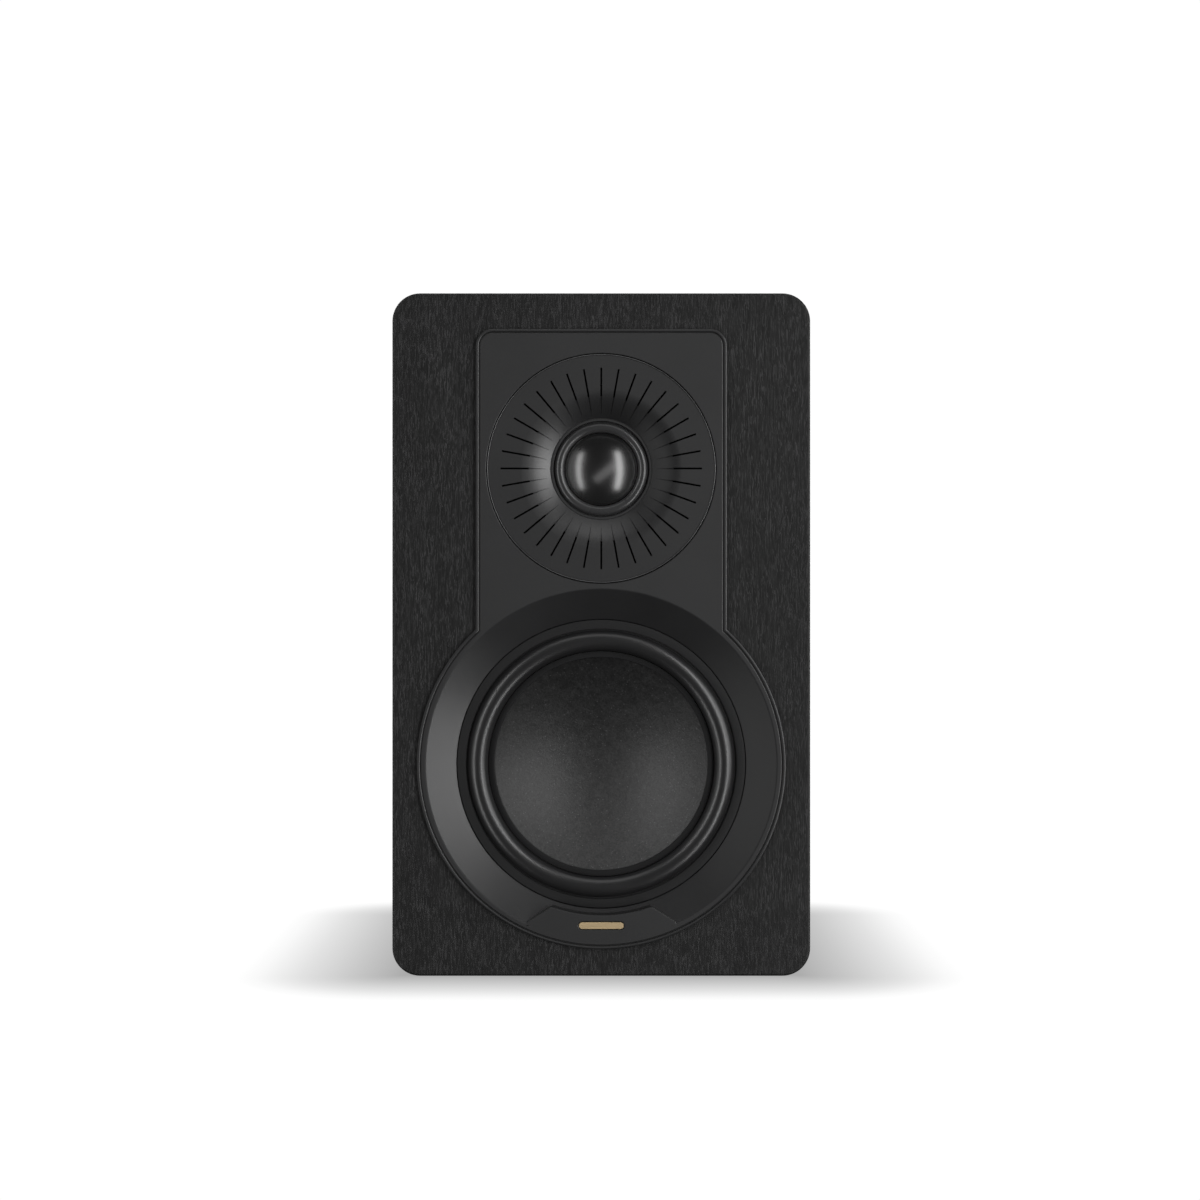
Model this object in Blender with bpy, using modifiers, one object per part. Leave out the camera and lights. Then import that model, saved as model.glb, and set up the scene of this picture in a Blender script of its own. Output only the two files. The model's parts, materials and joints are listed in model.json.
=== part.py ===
"""Compact two-way bookshelf loudspeaker, as separate pieces with its moving parts.

Metres, +Z up. The front faces -Y and the origin is the middle of the cabinet's base.
Front frames have local x to the right, y up and z out of the baffle.
Rear frames have x to the left of the cabinet as seen from its front, y up and z out of the back.
"""

import math

import bmesh
import bpy

MM = 0.001
GAP = 0.3 * MM

# Cabinet
WIDTH = 150 * MM
HEIGHT = 245 * MM
DEPTH = 182 * MM
WALL = 12 * MM
CORNER_R = 10 * MM
BAFFLE_T = 15 * MM
FRONT_Y = -DEPTH / 2
REAR_Y = DEPTH / 2

# Heights of the axes above the base
WOOFER_Z = 75.9 * MM
TWEETER_Z = 182.0 * MM
PORT_Z = 176.0 * MM
CUP_Z = 62.0 * MM

# Front trim: one keyhole-shaped moulding, proud of the baffle
TRIM_TOP = 232.0 * MM
TRIM_HALF = 45.0 * MM
TRIM_R = 66.1 * MM
TRIM_CORNER_R = 6 * MM
TRIM_FACE = 1.6 * MM
CHAMFER_R = 63.0 * MM
THROAT_R = 52.2 * MM
THROAT_Z = -3.9 * MM
PLATEAU_R = 53.9 * MM
PLATEAU_HALF_DEG = 19.6
PLATEAU_SIDE = (26.4 * MM, -56.0 * MM)
BADGE_DROP = 57.6 * MM
BADGE_L = 16.0 * MM
BADGE_H = 2.4 * MM

# Woofer
REBATE_R = 65.0 * MM
REBATE_Z = -7.7 * MM
WOOFER_HOLE_R = 54.5 * MM
FLANGE_R = 62.0 * MM
WOOFER_SCREW_R = 58.5 * MM
WOOFER_PILOT_R = 1.9 * MM
ROLL_R = 44.4 * MM
ROLL_RADIUS = 3.9 * MM
RUBBER_T = 0.6 * MM
SURROUND_Z = -5.3 * MM
CONE_R = 38.0 * MM
CONE_RIM_R = 40.2 * MM
CONE_Z = -5.6 * MM
CONE_DEPTH = 14.0 * MM
CONE_T = 0.8 * MM
SPIDER_Z = -28.0 * MM
FORMER_R = 12.5 * MM
FORMER_LOW = -46.0 * MM
BASKET_LOW = -36.0 * MM
BASKET_T = 1.7 * MM
POLE_R = 12.0 * MM
PLATE_R = 36.0 * MM
PLATE_T = 5.0 * MM
WOOFER_MAGNET_R = 41.0 * MM
WOOFER_MAGNET_T = 15.0 * MM

# Tweeter
DISC_R = 40.9 * MM
DISC_SEAT_R = 41.4 * MM
DISC_SEAT_Z = -7.2 * MM
TWEETER_HOLE_R = 29.0 * MM
HORN_MOUTH_R = 29.0 * MM
HORN_THROAT_R = 18.4 * MM
HORN_DEPTH = 4.6 * MM
DOME_R = 13.0 * MM
DOME_H = 4.8 * MM
DOME_Z = -4.2 * MM
TWEETER_SCREW_R = 33.0 * MM
TWEETER_PILOT_R = 1.7 * MM
TWEETER_PLATE_T = 3.0 * MM
TWEETER_MAGNET_R = 27.5 * MM
TWEETER_MAGNET_T = 8.0 * MM
TWEETER_YOKE_R = 25.0 * MM
TWEETER_YOKE_T = 4.0 * MM
TWEETER_CUP_DEPTH = 15.2 * MM

# Reflex port
PORT_R = 17.0 * MM
PORT_WALL = 2.0 * MM
PORT_LENGTH = 98.0 * MM
PORT_HOLE_R = 23.5 * MM

# Terminal cup, seen from behind
CUP_W = 84 * MM
CUP_H = 62 * MM
RECESS_W = 64 * MM
RECESS_H = 42 * MM
RECESS_Z = -14 * MM
CUP_WALL = 2 * MM
CUP_FACE = 2.8 * MM
POST_X = 15 * MM
POST_R = 2.0 * MM
POST_LOW = -33 * MM
COLLAR_TOP = RECESS_Z + 1.8 * MM
KNOB_R = 6.8 * MM
KNOB_TOP = 6.2 * MM
CUP_SCREW = (38 * MM, 27 * MM)
CUP_PILOT_R = 1.8 * MM
BOARD_Z = -29.7 * MM
BOARD_T = 1.6 * MM
BOARD_HALF = 30 * MM
WIRE_R = 1.3 * MM

BLACK = (0.030, 0.030, 0.032)
SOFT_BLACK = (0.045, 0.044, 0.046)
PAPER = (0.05, 0.05, 0.053)
CLOTH = (0.35, 0.24, 0.08)
FELT = (0.30, 0.30, 0.29)
BOARD = (0.52, 0.40, 0.27)
STEEL = (0.55, 0.56, 0.57)
FERRITE = (0.075, 0.075, 0.08)
COPPER = (0.62, 0.30, 0.16)
GOLD = (0.60, 0.46, 0.27)
RED = (0.42, 0.02, 0.02)


def clear_scene():
    for obj in list(bpy.data.objects):
        bpy.data.objects.remove(obj, do_unlink=True)


def collection(name, helper=False):
    made = bpy.data.collections.new(name)
    bpy.context.scene.collection.children.link(made)
    made.hide_render = helper
    return made


def frame(name, location, rotation, parent=None):
    empty = bpy.data.objects.new(name, None)
    empty.location = location
    empty.rotation_euler = rotation
    empty.parent = parent
    PARTS.objects.link(empty)
    return empty


def front_frame(name, height):
    return frame(name, (0, FRONT_Y, height), (math.pi / 2, 0, 0))


def rear_frame(name, height):
    return frame(name, (0, REAR_Y, height), (math.pi / 2, 0, math.pi))


def paint(obj, color, roughness, metallic=0.0):
    material = bpy.data.materials.new(obj.name)
    material.use_nodes = True
    shader = material.node_tree.nodes["Principled BSDF"]
    shader.inputs["Base Color"].default_value = (*color, 1)
    shader.inputs["Roughness"].default_value = roughness
    shader.inputs["Metallic"].default_value = metallic
    obj.data.materials.append(material)


def place(name, data, parent, at, look):
    """Adds a part, or a cutter when it has no look, at a place in its parent's frame."""
    obj = bpy.data.objects.new(name, data)
    obj.parent = parent
    obj.location = at
    if look:
        PARTS.objects.link(obj)
        paint(obj, *look)
    else:
        CUTTERS.objects.link(obj)
        obj.hide_render = True
        obj.display_type = "WIRE"
    return obj


def block(name, parent, low, high, look=None, bevel=0.0):
    """A box between two corners of its parent's frame."""
    mesh = bpy.data.meshes.new(name)
    shape = bmesh.new()
    bmesh.ops.create_cube(shape, size=1)
    size = [b - a for a, b in zip(low, high)]
    bmesh.ops.scale(shape, vec=size, verts=shape.verts)
    shape.to_mesh(mesh)
    shape.free()
    obj = place(name, mesh, parent, [(a + b) / 2 for a, b in zip(low, high)], look)
    if bevel:
        edge = obj.modifiers.new("Edge", "BEVEL")
        edge.width = bevel
        edge.segments = 2
    return obj


def clockwise(points):
    ring = zip(points, points[1:] + points[:1])
    area = sum(a[0] * b[1] - b[0] * a[1] for a, b in ring)
    return points if area < 0 else points[::-1]


def turned(name, parent, profile, steps, look=None, at=(0, 0, 0)):
    """Turns (radius, z) points round the local Z axis. It is solid where they start and end at radius 0."""
    solid = profile[0][0] == 0 and profile[-1][0] == 0
    points = clockwise(list(profile))
    if solid and points[0][0] != 0:
        points = points[1:] + points[:1]
    mesh = bpy.data.meshes.new(name)
    edges = [(i, i + 1) for i in range(len(points) - 1)]
    if not solid:
        edges.append((len(points) - 1, 0))
    mesh.from_pydata([(r, 0, z) for r, z in points], edges, [])
    obj = place(name, mesh, parent, at, look)
    screw = obj.modifiers.new("Turn", "SCREW")
    screw.steps = steps
    screw.render_steps = steps
    screw.use_merge_vertices = True
    screw.merge_threshold = 0.000001
    screw.use_smooth_shade = True
    return obj


def ring(name, parent, inner, outer, low, high, steps, look=None, at=(0, 0, 0)):
    profile = [(inner, high), (outer, high), (outer, low), (inner, low)]
    return turned(name, parent, profile, steps, look, at)


def rod(name, parent, radius, low, high, steps, look=None, at=(0, 0, 0)):
    profile = [(0, high), (radius, high), (radius, low), (0, low)]
    return turned(name, parent, profile, steps, look, at)


def arc(x, y, radius, start, end, count):
    """Points round a circle from start to end, in degrees."""
    found = []
    for i in range(count + 1):
        angle = math.radians(start + (end - start) * i / count)
        found.append((x + radius * math.cos(angle), y + radius * math.sin(angle)))
    return found


def rounded_rectangle(width, height, radius, count=3):
    x = width / 2 - radius
    y = height / 2 - radius
    corners = ((x, y, 0), (-x, y, 90), (-x, -y, 180), (x, -y, 270))
    return [p for cx, cy, a in corners for p in arc(cx, cy, radius, a, a + 90, count)]


def prism(name, parent, outline, low, high, look=None, at=(0, 0)):
    """A flat outline, extruded from low to high along the frame's z, as a mesh with welded caps."""
    curve = bpy.data.curves.new(name, "CURVE")
    curve.dimensions = "2D"
    curve.fill_mode = "BOTH"
    curve.extrude = (high - low) / 2
    spline = curve.splines.new("POLY")
    spline.points.add(len(outline) - 1)
    for point, (x, y) in zip(spline.points, outline):
        point.co = (x, y, 0, 1)
    spline.use_cyclic_u = True
    guide = bpy.data.objects.new(name + "_outline", curve)
    CUTTERS.objects.link(guide)
    graph = bpy.context.evaluated_depsgraph_get()
    mesh = bpy.data.meshes.new_from_object(guide.evaluated_get(graph))
    bpy.data.objects.remove(guide)
    shape = bmesh.new()
    shape.from_mesh(mesh)
    bmesh.ops.remove_doubles(shape, verts=shape.verts, dist=0.000001)
    bmesh.ops.recalc_face_normals(shape, faces=shape.faces)
    shape.to_mesh(mesh)
    shape.free()
    mesh.name = name
    return place(name, mesh, parent, (at[0], at[1], (low + high) / 2), look)


def wire(name, parent, points, radius, look):
    curve = bpy.data.curves.new(name, "CURVE")
    curve.dimensions = "3D"
    curve.bevel_depth = radius
    curve.bevel_resolution = 1
    curve.use_fill_caps = True
    spline = curve.splines.new("POLY")
    spline.points.add(len(points) - 1)
    for point, (x, y, z) in zip(spline.points, points):
        point.co = (x, y, z, 1)
    return place(name, curve, parent, (0, 0, 0), look)


def boolean(obj, cutter, operation="DIFFERENCE"):
    modifier = obj.modifiers.new(cutter.name, "BOOLEAN")
    modifier.operation = operation
    modifier.solver = "EXACT"
    modifier.object = cutter


def around(radius, count, start):
    """Places evenly spread on a circle."""
    return arc(0, 0, radius, start, start + 360 * (count - 1) / count, count - 1)


def bezier(ends, pulls, count):
    """Points on one smooth curve between two ends, with a handle for each."""
    a, d = ends
    b, c = pulls
    found = []
    for i in range(count + 1):
        t = i / count
        weights = ((1 - t) ** 3, 3 * t * (1 - t) ** 2, 3 * t * t * (1 - t), t**3)
        found.append([sum(w * p[k] for w, p in zip(weights, (a, b, c, d))) for k in range(3)])
    return found


def make_sleeve():
    """Four mitred panels behind the baffle. Neighbours share the cabinet's rounded corners."""
    look = (SOFT_BLACK, 0.6)
    mitre = math.degrees(GAP / 2 / CORNER_R)
    inset = GAP / math.sqrt(2)
    low = -DEPTH
    high = -BAFFLE_T - GAP
    x = WIDTH / 2
    z = HEIGHT / 2
    xc = x - CORNER_R
    zc = z - CORNER_R
    half = 45 - mitre
    cabinet = front_frame("cabinet_frame", z)
    side = arc(xc, -zc, CORNER_R, -half, 0, 3) + arc(xc, zc, CORNER_R, 0, half, 3)
    side += [(x - WALL, z - WALL - inset), (x - WALL, -z + WALL + inset)]
    top = arc(xc, zc, CORNER_R, 90 - half, 90, 3) + arc(-xc, zc, CORNER_R, 90, 90 + half, 3)
    top += [(-x + WALL + inset, z - WALL), (x - WALL - inset, z - WALL)]
    prism("side_panel_right", cabinet, side, low, high, look)
    prism("side_panel_left", cabinet, [(-a, b) for a, b in side], low, high, look)
    prism("top_panel", cabinet, top, low, high, look)
    prism("bottom_panel", cabinet, [(a, -b) for a, b in top], low, high, look)
    return cabinet


def make_baffle(cabinet, woofer, tweeter):
    look = (SOFT_BLACK, 0.6)
    outline = rounded_rectangle(WIDTH, HEIGHT, CORNER_R, 6)
    baffle = prism("front_baffle", cabinet, outline, -BAFFLE_T, 0, look)
    back = -BAFFLE_T - 5 * MM
    front = 5 * MM
    holes = [
        rod("cut_woofer_rebate", woofer, REBATE_R, REBATE_Z, front, 48),
        rod("cut_woofer_hole", woofer, WOOFER_HOLE_R, back, front, 40),
        rod("cut_tweeter_rebate", tweeter, DISC_SEAT_R, DISC_SEAT_Z, front, 40),
        rod("cut_tweeter_hole", tweeter, TWEETER_HOLE_R, back, front, 32),
    ]
    for i, (x, y) in enumerate(around(WOOFER_SCREW_R, 4, 45)):
        at = (x, y, 0)
        holes.append(rod(f"cut_woofer_pilot_{i}", woofer, WOOFER_PILOT_R, back, front, 8, at=at))
    for i, (x, y) in enumerate(around(TWEETER_SCREW_R, 3, 90)):
        at = (x, y, 0)
        holes.append(rod(f"cut_tweeter_pilot_{i}", tweeter, TWEETER_PILOT_R, back, front, 8, at=at))
    for hole in holes:
        boolean(baffle, hole)


def make_trim(woofer, tweeter):
    """The keyhole plate, its conical skirt down to the woofer, and the plateau that carries the bar."""
    top = TRIM_TOP - WOOFER_Z
    meet = math.degrees(math.acos(TRIM_HALF / TRIM_R))
    x = TRIM_HALF - TRIM_CORNER_R
    y = top - TRIM_CORNER_R
    outline = arc(x, y, TRIM_CORNER_R, 0, 90, 4)
    outline += arc(-x, y, TRIM_CORNER_R, 90, 180, 4)
    outline += arc(0, 0, TRIM_R, 180 - meet, 360 + meet, 44)
    trim = prism("front_trim", woofer, outline, GAP, TRIM_FACE, (BLACK, 0.42))
    skirt_r = REBATE_R - 0.5 * MM
    under = THROAT_Z - 0.4 * MM
    skirt = [(51 * MM, MM), (skirt_r, MM), (skirt_r, -0.9 * MM), (54 * MM, under), (51 * MM, under)]
    boolean(trim, turned("join_skirt", woofer, skirt, 48), "UNION")
    slope = (CHAMFER_R - THROAT_R) / (TRIM_FACE - THROAT_Z)
    above = 2 * MM
    cone = [
        (0, TRIM_FACE + above),
        (CHAMFER_R + slope * above, TRIM_FACE + above),
        (THROAT_R, THROAT_Z),
        (THROAT_R, under - MM),
        (0, under - MM),
    ]
    boolean(trim, turned("cut_chamfer", woofer, cone, 48))
    side_x, side_y = PLATEAU_SIDE
    edge = 270 + math.degrees(math.atan2(side_x, -side_y))
    plateau = arc(0, 0, PLATEAU_R, 270 - PLATEAU_HALF_DEG, 270 + PLATEAU_HALF_DEG, 6)
    plateau += [(side_x, side_y)] + arc(0, 0, 64.2 * MM, edge, 540 - edge, 8) + [(-side_x, side_y)]
    boolean(trim, prism("join_plateau", woofer, plateau, -3.7 * MM, TRIM_FACE), "UNION")
    boolean(trim, rod("cut_disc", tweeter, DISC_SEAT_R - 0.2 * MM, -5 * MM, 5 * MM, 40))
    pocket = rounded_rectangle(BADGE_L + 2 * GAP, BADGE_H + 2 * GAP, BADGE_H / 2 + GAP, 3)
    floor = 0.8 * MM
    below = (0, -BADGE_DROP)
    boolean(trim, prism("cut_badge", woofer, pocket, floor, 3 * MM, at=below))
    bar = rounded_rectangle(BADGE_L, BADGE_H, BADGE_H / 2, 3)
    prism("badge_bar", woofer, bar, floor + GAP, TRIM_FACE + 0.15 * MM, (GOLD, 0.3, 1.0), below)


def cone_z(radius):
    return CONE_Z - CONE_DEPTH * (1 - min(1, radius / CONE_R) ** 2)


def make_basket(woofer):
    """A pressed frame with six windows, screwed down through its flange."""
    spider_seat = SPIDER_Z - GAP
    basket = [
        (49.2 * MM, CONE_Z),
        (FLANGE_R, CONE_Z),
        (FLANGE_R, REBATE_Z + GAP),
        (53.2 * MM, REBATE_Z + GAP),
        (51.5 * MM, -14 * MM),
        (40 * MM, -29.5 * MM),
        (40 * MM, BASKET_LOW),
        (24 * MM, BASKET_LOW),
        (24 * MM, BASKET_LOW + BASKET_T),
        (35 * MM, BASKET_LOW + BASKET_T),
        (35 * MM, spider_seat),
        (38.5 * MM, spider_seat),
        (49.4 * MM, -13.5 * MM),
    ]
    basket_part = turned("woofer_basket", woofer, basket, 32, (BLACK, 0.5, 0.3))
    low = (30 * MM, -11 * MM, -25 * MM)
    high = (60 * MM, 11 * MM, -14 * MM)
    middle = 45 * MM
    for i in range(6):
        window = block(f"cut_window_{i}", woofer, low, high)
        turn = math.radians(60 * i)
        window.location = (middle * math.cos(turn), middle * math.sin(turn), (low[2] + high[2]) / 2)
        window.rotation_euler = (0, 0, turn)
        boolean(basket_part, window)
    for i, (x, y) in enumerate(around(WOOFER_SCREW_R, 4, 45)):
        hole = rod(f"cut_flange_{i}", woofer, WOOFER_PILOT_R, -12 * MM, 0, 8, at=(x, y, 0))
        boolean(basket_part, hole)
        head = CONE_Z + GAP
        screw(f"woofer_screw_{i + 1}", woofer, (x, y), head, 2.8 * MM, 1.1 * MM, 9 * MM, 1.5 * MM)


def make_diaphragm(woofer, cone_frame):
    """The half-roll surround and the spider stay with the basket; the cone, former and winding travel."""
    base = SURROUND_Z + RUBBER_T
    ring("woofer_gasket_ring", woofer, 48.6 * MM, 51.9 * MM, base + GAP, THROAT_Z, 40, (SOFT_BLACK, 0.7))
    roll = arc(ROLL_R, base, ROLL_RADIUS, 0, 180, 7)
    inner = arc(ROLL_R, SURROUND_Z, ROLL_RADIUS - RUBBER_T, 180, 0, 7)
    surround = [(51.5 * MM, SURROUND_Z), (51.5 * MM, base)] + roll
    surround += [(38.4 * MM, base), (38.4 * MM, SURROUND_Z)] + inner
    turned("woofer_surround", woofer, surround, 32, (BLACK, 0.45))

    copper = (COPPER, 0.3, 1.0)
    radii = [CONE_R * k / 5 for k in range(6)]
    top = [(r, cone_z(r)) for r in radii] + [(CONE_RIM_R, CONE_Z)]
    bottom = [(r, z - CONE_T) for r, z in top[::-1]]
    turned("woofer_cone", cone_frame, top + bottom, 32, (PAPER, 0.8))
    former_out = FORMER_R + 0.4 * MM
    former_top = cone_z(12.8 * MM) - CONE_T - 0.5 * MM
    ring("woofer_former", cone_frame, FORMER_R, former_out, FORMER_LOW, former_top, 24, (BOARD, 0.6))
    coil_in = former_out + GAP
    ring("woofer_winding", cone_frame, coil_in, coil_in + 0.7 * MM, -44 * MM, -33.5 * MM, 24, copper)

    wave = 0.8 * MM
    pitch = 4 * MM
    waves = [(14 * MM + k * pitch, SPIDER_Z + 0.2 * MM - wave * (-1) ** k) for k in range(6)]
    spider = [(13.3 * MM, SPIDER_Z - 0.1 * MM)] + waves + [(35.4 * MM, SPIDER_Z), (38 * MM, SPIDER_Z)]
    cloth = [(r, z + 0.5 * MM) for r, z in spider[::-1]]
    turned("woofer_spider", woofer, spider + cloth, 24, (CLOTH, 0.9))

    strip_low = (46 * MM, -6 * MM, -29 * MM)
    block("woofer_terminal_strip", woofer, strip_low, (48.5 * MM, 6 * MM, -23 * MM), (BOARD, 0.6))
    for name, y in (("woofer_lead_plus", 3 * MM), ("woofer_lead_minus", -3 * MM)):
        ends = ((28 * MM, y, -14.5 * MM), (47.2 * MM, y, -22.2 * MM))
        pulls = ((33 * MM, y, -23 * MM), (46 * MM, y, -14.5 * MM))
        wire(name, woofer, bezier(ends, pulls, 8), 0.5 * MM, (COPPER, 0.5, 1.0))


def make_woofer_motor(woofer):
    """Top plate, ring magnet and vented yoke, stacked behind the basket."""
    steel = (STEEL, 0.35, 1.0)
    plate_top = BASKET_LOW - GAP
    plate_low = plate_top - PLATE_T
    ring("woofer_top_plate", woofer, 14.4 * MM, PLATE_R, plate_low, plate_top, 24, steel)
    magnet_top = plate_low - GAP
    magnet_low = magnet_top - WOOFER_MAGNET_T
    ferrite = (FERRITE, 0.6)
    ring("woofer_magnet", woofer, 22 * MM, WOOFER_MAGNET_R, magnet_low, magnet_top, 32, ferrite)
    pole_top = plate_top - GAP
    flange_top = magnet_low - GAP
    vent_r = 3 * MM
    yoke = [
        (vent_r, pole_top),
        (POLE_R, pole_top),
        (POLE_R, flange_top),
        (PLATE_R, flange_top),
        (PLATE_R, flange_top - PLATE_T),
        (vent_r, flange_top - PLATE_T),
    ]
    turned("woofer_back_plate", woofer, yoke, 24, steel)


def screw(name, parent, at, seat, head_r, head_h, length, radius):
    """A pan-head screw whose head stands on z = seat."""
    profile = [(0, seat + head_h), (head_r, seat + head_h), (head_r, seat), (radius, seat)]
    profile += [(radius, seat - length), (0, seat - length)]
    turned(name, parent, profile, 8, ((0.04, 0.04, 0.045), 0.35, 1.0), (*at, 0))


def horn_z(radius):
    part = (HORN_MOUTH_R - radius) / (HORN_MOUTH_R - HORN_THROAT_R)
    return TRIM_FACE - HORN_DEPTH * part**1.7


def make_tweeter(tweeter):
    """The horn disc, and the moulded frame behind it that holds the motor."""
    count = 5
    span = HORN_MOUTH_R - HORN_THROAT_R
    radii = [HORN_THROAT_R + span * k / count for k in range(count)]
    disc = [(17.3 * MM, -4 * MM), (17.3 * MM, -3 * MM)] + [(r, horn_z(r)) for r in radii]
    disc += [(HORN_MOUTH_R, TRIM_FACE), (DISC_R - GAP, TRIM_FACE), (DISC_R, TRIM_FACE - GAP)]
    disc += [(DISC_R, -1.2 * MM), (39 * MM, -1.2 * MM), (39 * MM, -0.4 * MM), (27 * MM, -0.4 * MM)]
    disc += [(19.6 * MM, -4 * MM)]
    turned("tweeter_waveguide", tweeter, disc, 40, (BLACK, 0.4))
    low = DISC_SEAT_Z + GAP
    seat_r = 37.5 * MM
    seat_z = -4.6 * MM
    inner_r = 17.6 * MM
    body = [(inner_r, seat_z), (seat_r, seat_z), (seat_r, -1.6 * MM), (DISC_R, -1.6 * MM)]
    body += [(DISC_R, low), (inner_r, low)]
    plate = turned("tweeter_frame", tweeter, body, 32, (BLACK, 0.5))
    head = seat_z + GAP
    for i, (x, y) in enumerate(around(TWEETER_SCREW_R, 3, 90)):
        hole = rod(f"cut_frame_{i}", tweeter, TWEETER_PILOT_R, -12 * MM, 0, 8, at=(x, y, 0))
        boolean(plate, hole)
        screw(f"tweeter_screw_{i + 1}", tweeter, (x, y), head, 2.5 * MM, 1.1 * MM, 9 * MM, 1.3 * MM)


def make_dome(tweeter, dome_frame):
    """The dome and its coil travel; the thin half-roll round them stays with the frame."""
    film = 0.25 * MM
    lip = -4.35 * MM
    roll_r = 15.1 * MM
    roll_radius = 1.75 * MM
    roll = arc(roll_r, lip, roll_radius, 0, 180, 5)
    inner = arc(roll_r, lip - film, roll_radius - film, 180, 0, 5)
    surround = [(17.2 * MM, lip - film), (17.2 * MM, lip)] + roll + inner
    turned("tweeter_surround", tweeter, surround, 24, (BLACK, 0.5))
    sphere_r = (DOME_R**2 + DOME_H**2) / (2 * DOME_H)
    half = math.degrees(math.asin(DOME_R / sphere_r))
    middle = DOME_Z + DOME_H - sphere_r
    outer = arc(0, middle, sphere_r, 90, 90 - half, 4)
    under = arc(0, middle, sphere_r - 0.35 * MM, 90 - half, 90, 4)
    outer[0] = (0, outer[0][1])
    under[-1] = (0, under[-1][1])
    turned("tweeter_dome", dome_frame, outer + under, 24, (BLACK, 0.35))
    coil_in = DOME_R - 0.5 * MM
    coil_out = DOME_R - 0.05 * MM
    copper = (COPPER, 0.3, 1.0)
    ring("tweeter_voice_coil", dome_frame, coil_in, coil_out, -9.4 * MM, -4.9 * MM, 24, copper)


def make_tweeter_motor(tweeter):
    """Top plate, ring magnet, vented yoke and the small cup that closes the yoke's vent."""
    steel = (STEEL, 0.35, 1.0)
    plate_top = DISC_SEAT_Z
    plate_low = plate_top - TWEETER_PLATE_T
    ring("tweeter_top_plate", tweeter, 13.4 * MM, 27 * MM, plate_low, plate_top, 24, steel)
    magnet_top = plate_low - GAP
    magnet_low = magnet_top - TWEETER_MAGNET_T
    ferrite = (FERRITE, 0.6)
    ring("tweeter_magnet", tweeter, 16 * MM, TWEETER_MAGNET_R, magnet_low, magnet_top, 24, ferrite)
    pole_top = plate_top + 0.6 * MM
    flange_top = magnet_low - GAP
    flange_low = flange_top - TWEETER_YOKE_T
    vent_r = 4 * MM
    yoke = [
        (vent_r, pole_top),
        (POLE_R, pole_top),
        (POLE_R, flange_top),
        (TWEETER_YOKE_R, flange_top),
        (TWEETER_YOKE_R, flange_low),
        (vent_r, flange_low),
    ]
    turned("tweeter_back_plate", tweeter, yoke, 24, steel)
    cup_r = 20 * MM
    cup_wall = 1.5 * MM
    cup_top = flange_low - GAP
    cup_low = flange_low - TWEETER_CUP_DEPTH
    cup = [
        (0, cup_low + cup_wall),
        (cup_r - cup_wall, cup_low + cup_wall),
        (cup_r - cup_wall, cup_top),
        (cup_r, cup_top),
        (cup_r, cup_low),
        (0, cup_low),
    ]
    turned("tweeter_rear_cup", tweeter, cup, 24, (BLACK, 0.5))


def make_port(port):
    """A flared tube glued into the rear panel, open at both ends."""
    lip = 2 * MM
    spread = 7 * MM
    flare_depth = 10 * MM
    mouth_r = PORT_R + spread
    rim_r = mouth_r + 3.5 * MM
    chamfer = 0.6 * MM
    inside = []
    for angle in (math.radians(22.5 * k) for k in range(5)):
        radius = mouth_r - spread * math.sin(angle)
        inside.append((radius, lip - flare_depth * (1 - math.cos(angle))))
    inside.append((PORT_R, -PORT_LENGTH))
    outside = [
        (PORT_R + PORT_WALL, -PORT_LENGTH),
        (PORT_R + PORT_WALL, -flare_depth),
        (mouth_r - MM, GAP),
        (rim_r, GAP),
        (rim_r, lip - chamfer),
        (rim_r - chamfer, lip),
    ]
    turned("port_tube", port, inside + outside, 32, (BLACK, 0.5))


def make_rear_panel(cabinet, port, cup):
    width = WIDTH - 2 * WALL - 2 * GAP
    height = HEIGHT - 2 * WALL - 2 * GAP
    outline = rounded_rectangle(width, height, 0.5 * MM, 1)
    panel = prism("rear_panel", cabinet, outline, -DEPTH, -DEPTH + WALL, (SOFT_BLACK, 0.6))
    back = -WALL - 5 * MM
    front = 5 * MM
    opening = rounded_rectangle(RECESS_W + 2 * CUP_WALL + MM, RECESS_H + 2 * CUP_WALL + MM, 5 * MM)
    boolean(panel, rod("cut_port", port, PORT_HOLE_R, back, front, 32))
    boolean(panel, prism("cut_cup", cup, opening, back, front))
    for i, (x, y) in enumerate(corners(*CUP_SCREW)):
        boolean(panel, rod(f"cut_cup_pilot_{i}", cup, CUP_PILOT_R, back, front, 8, at=(x, y, 0)))


def corners(x, y):
    return [(x, y), (-x, y), (-x, -y), (x, -y)]


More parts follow.
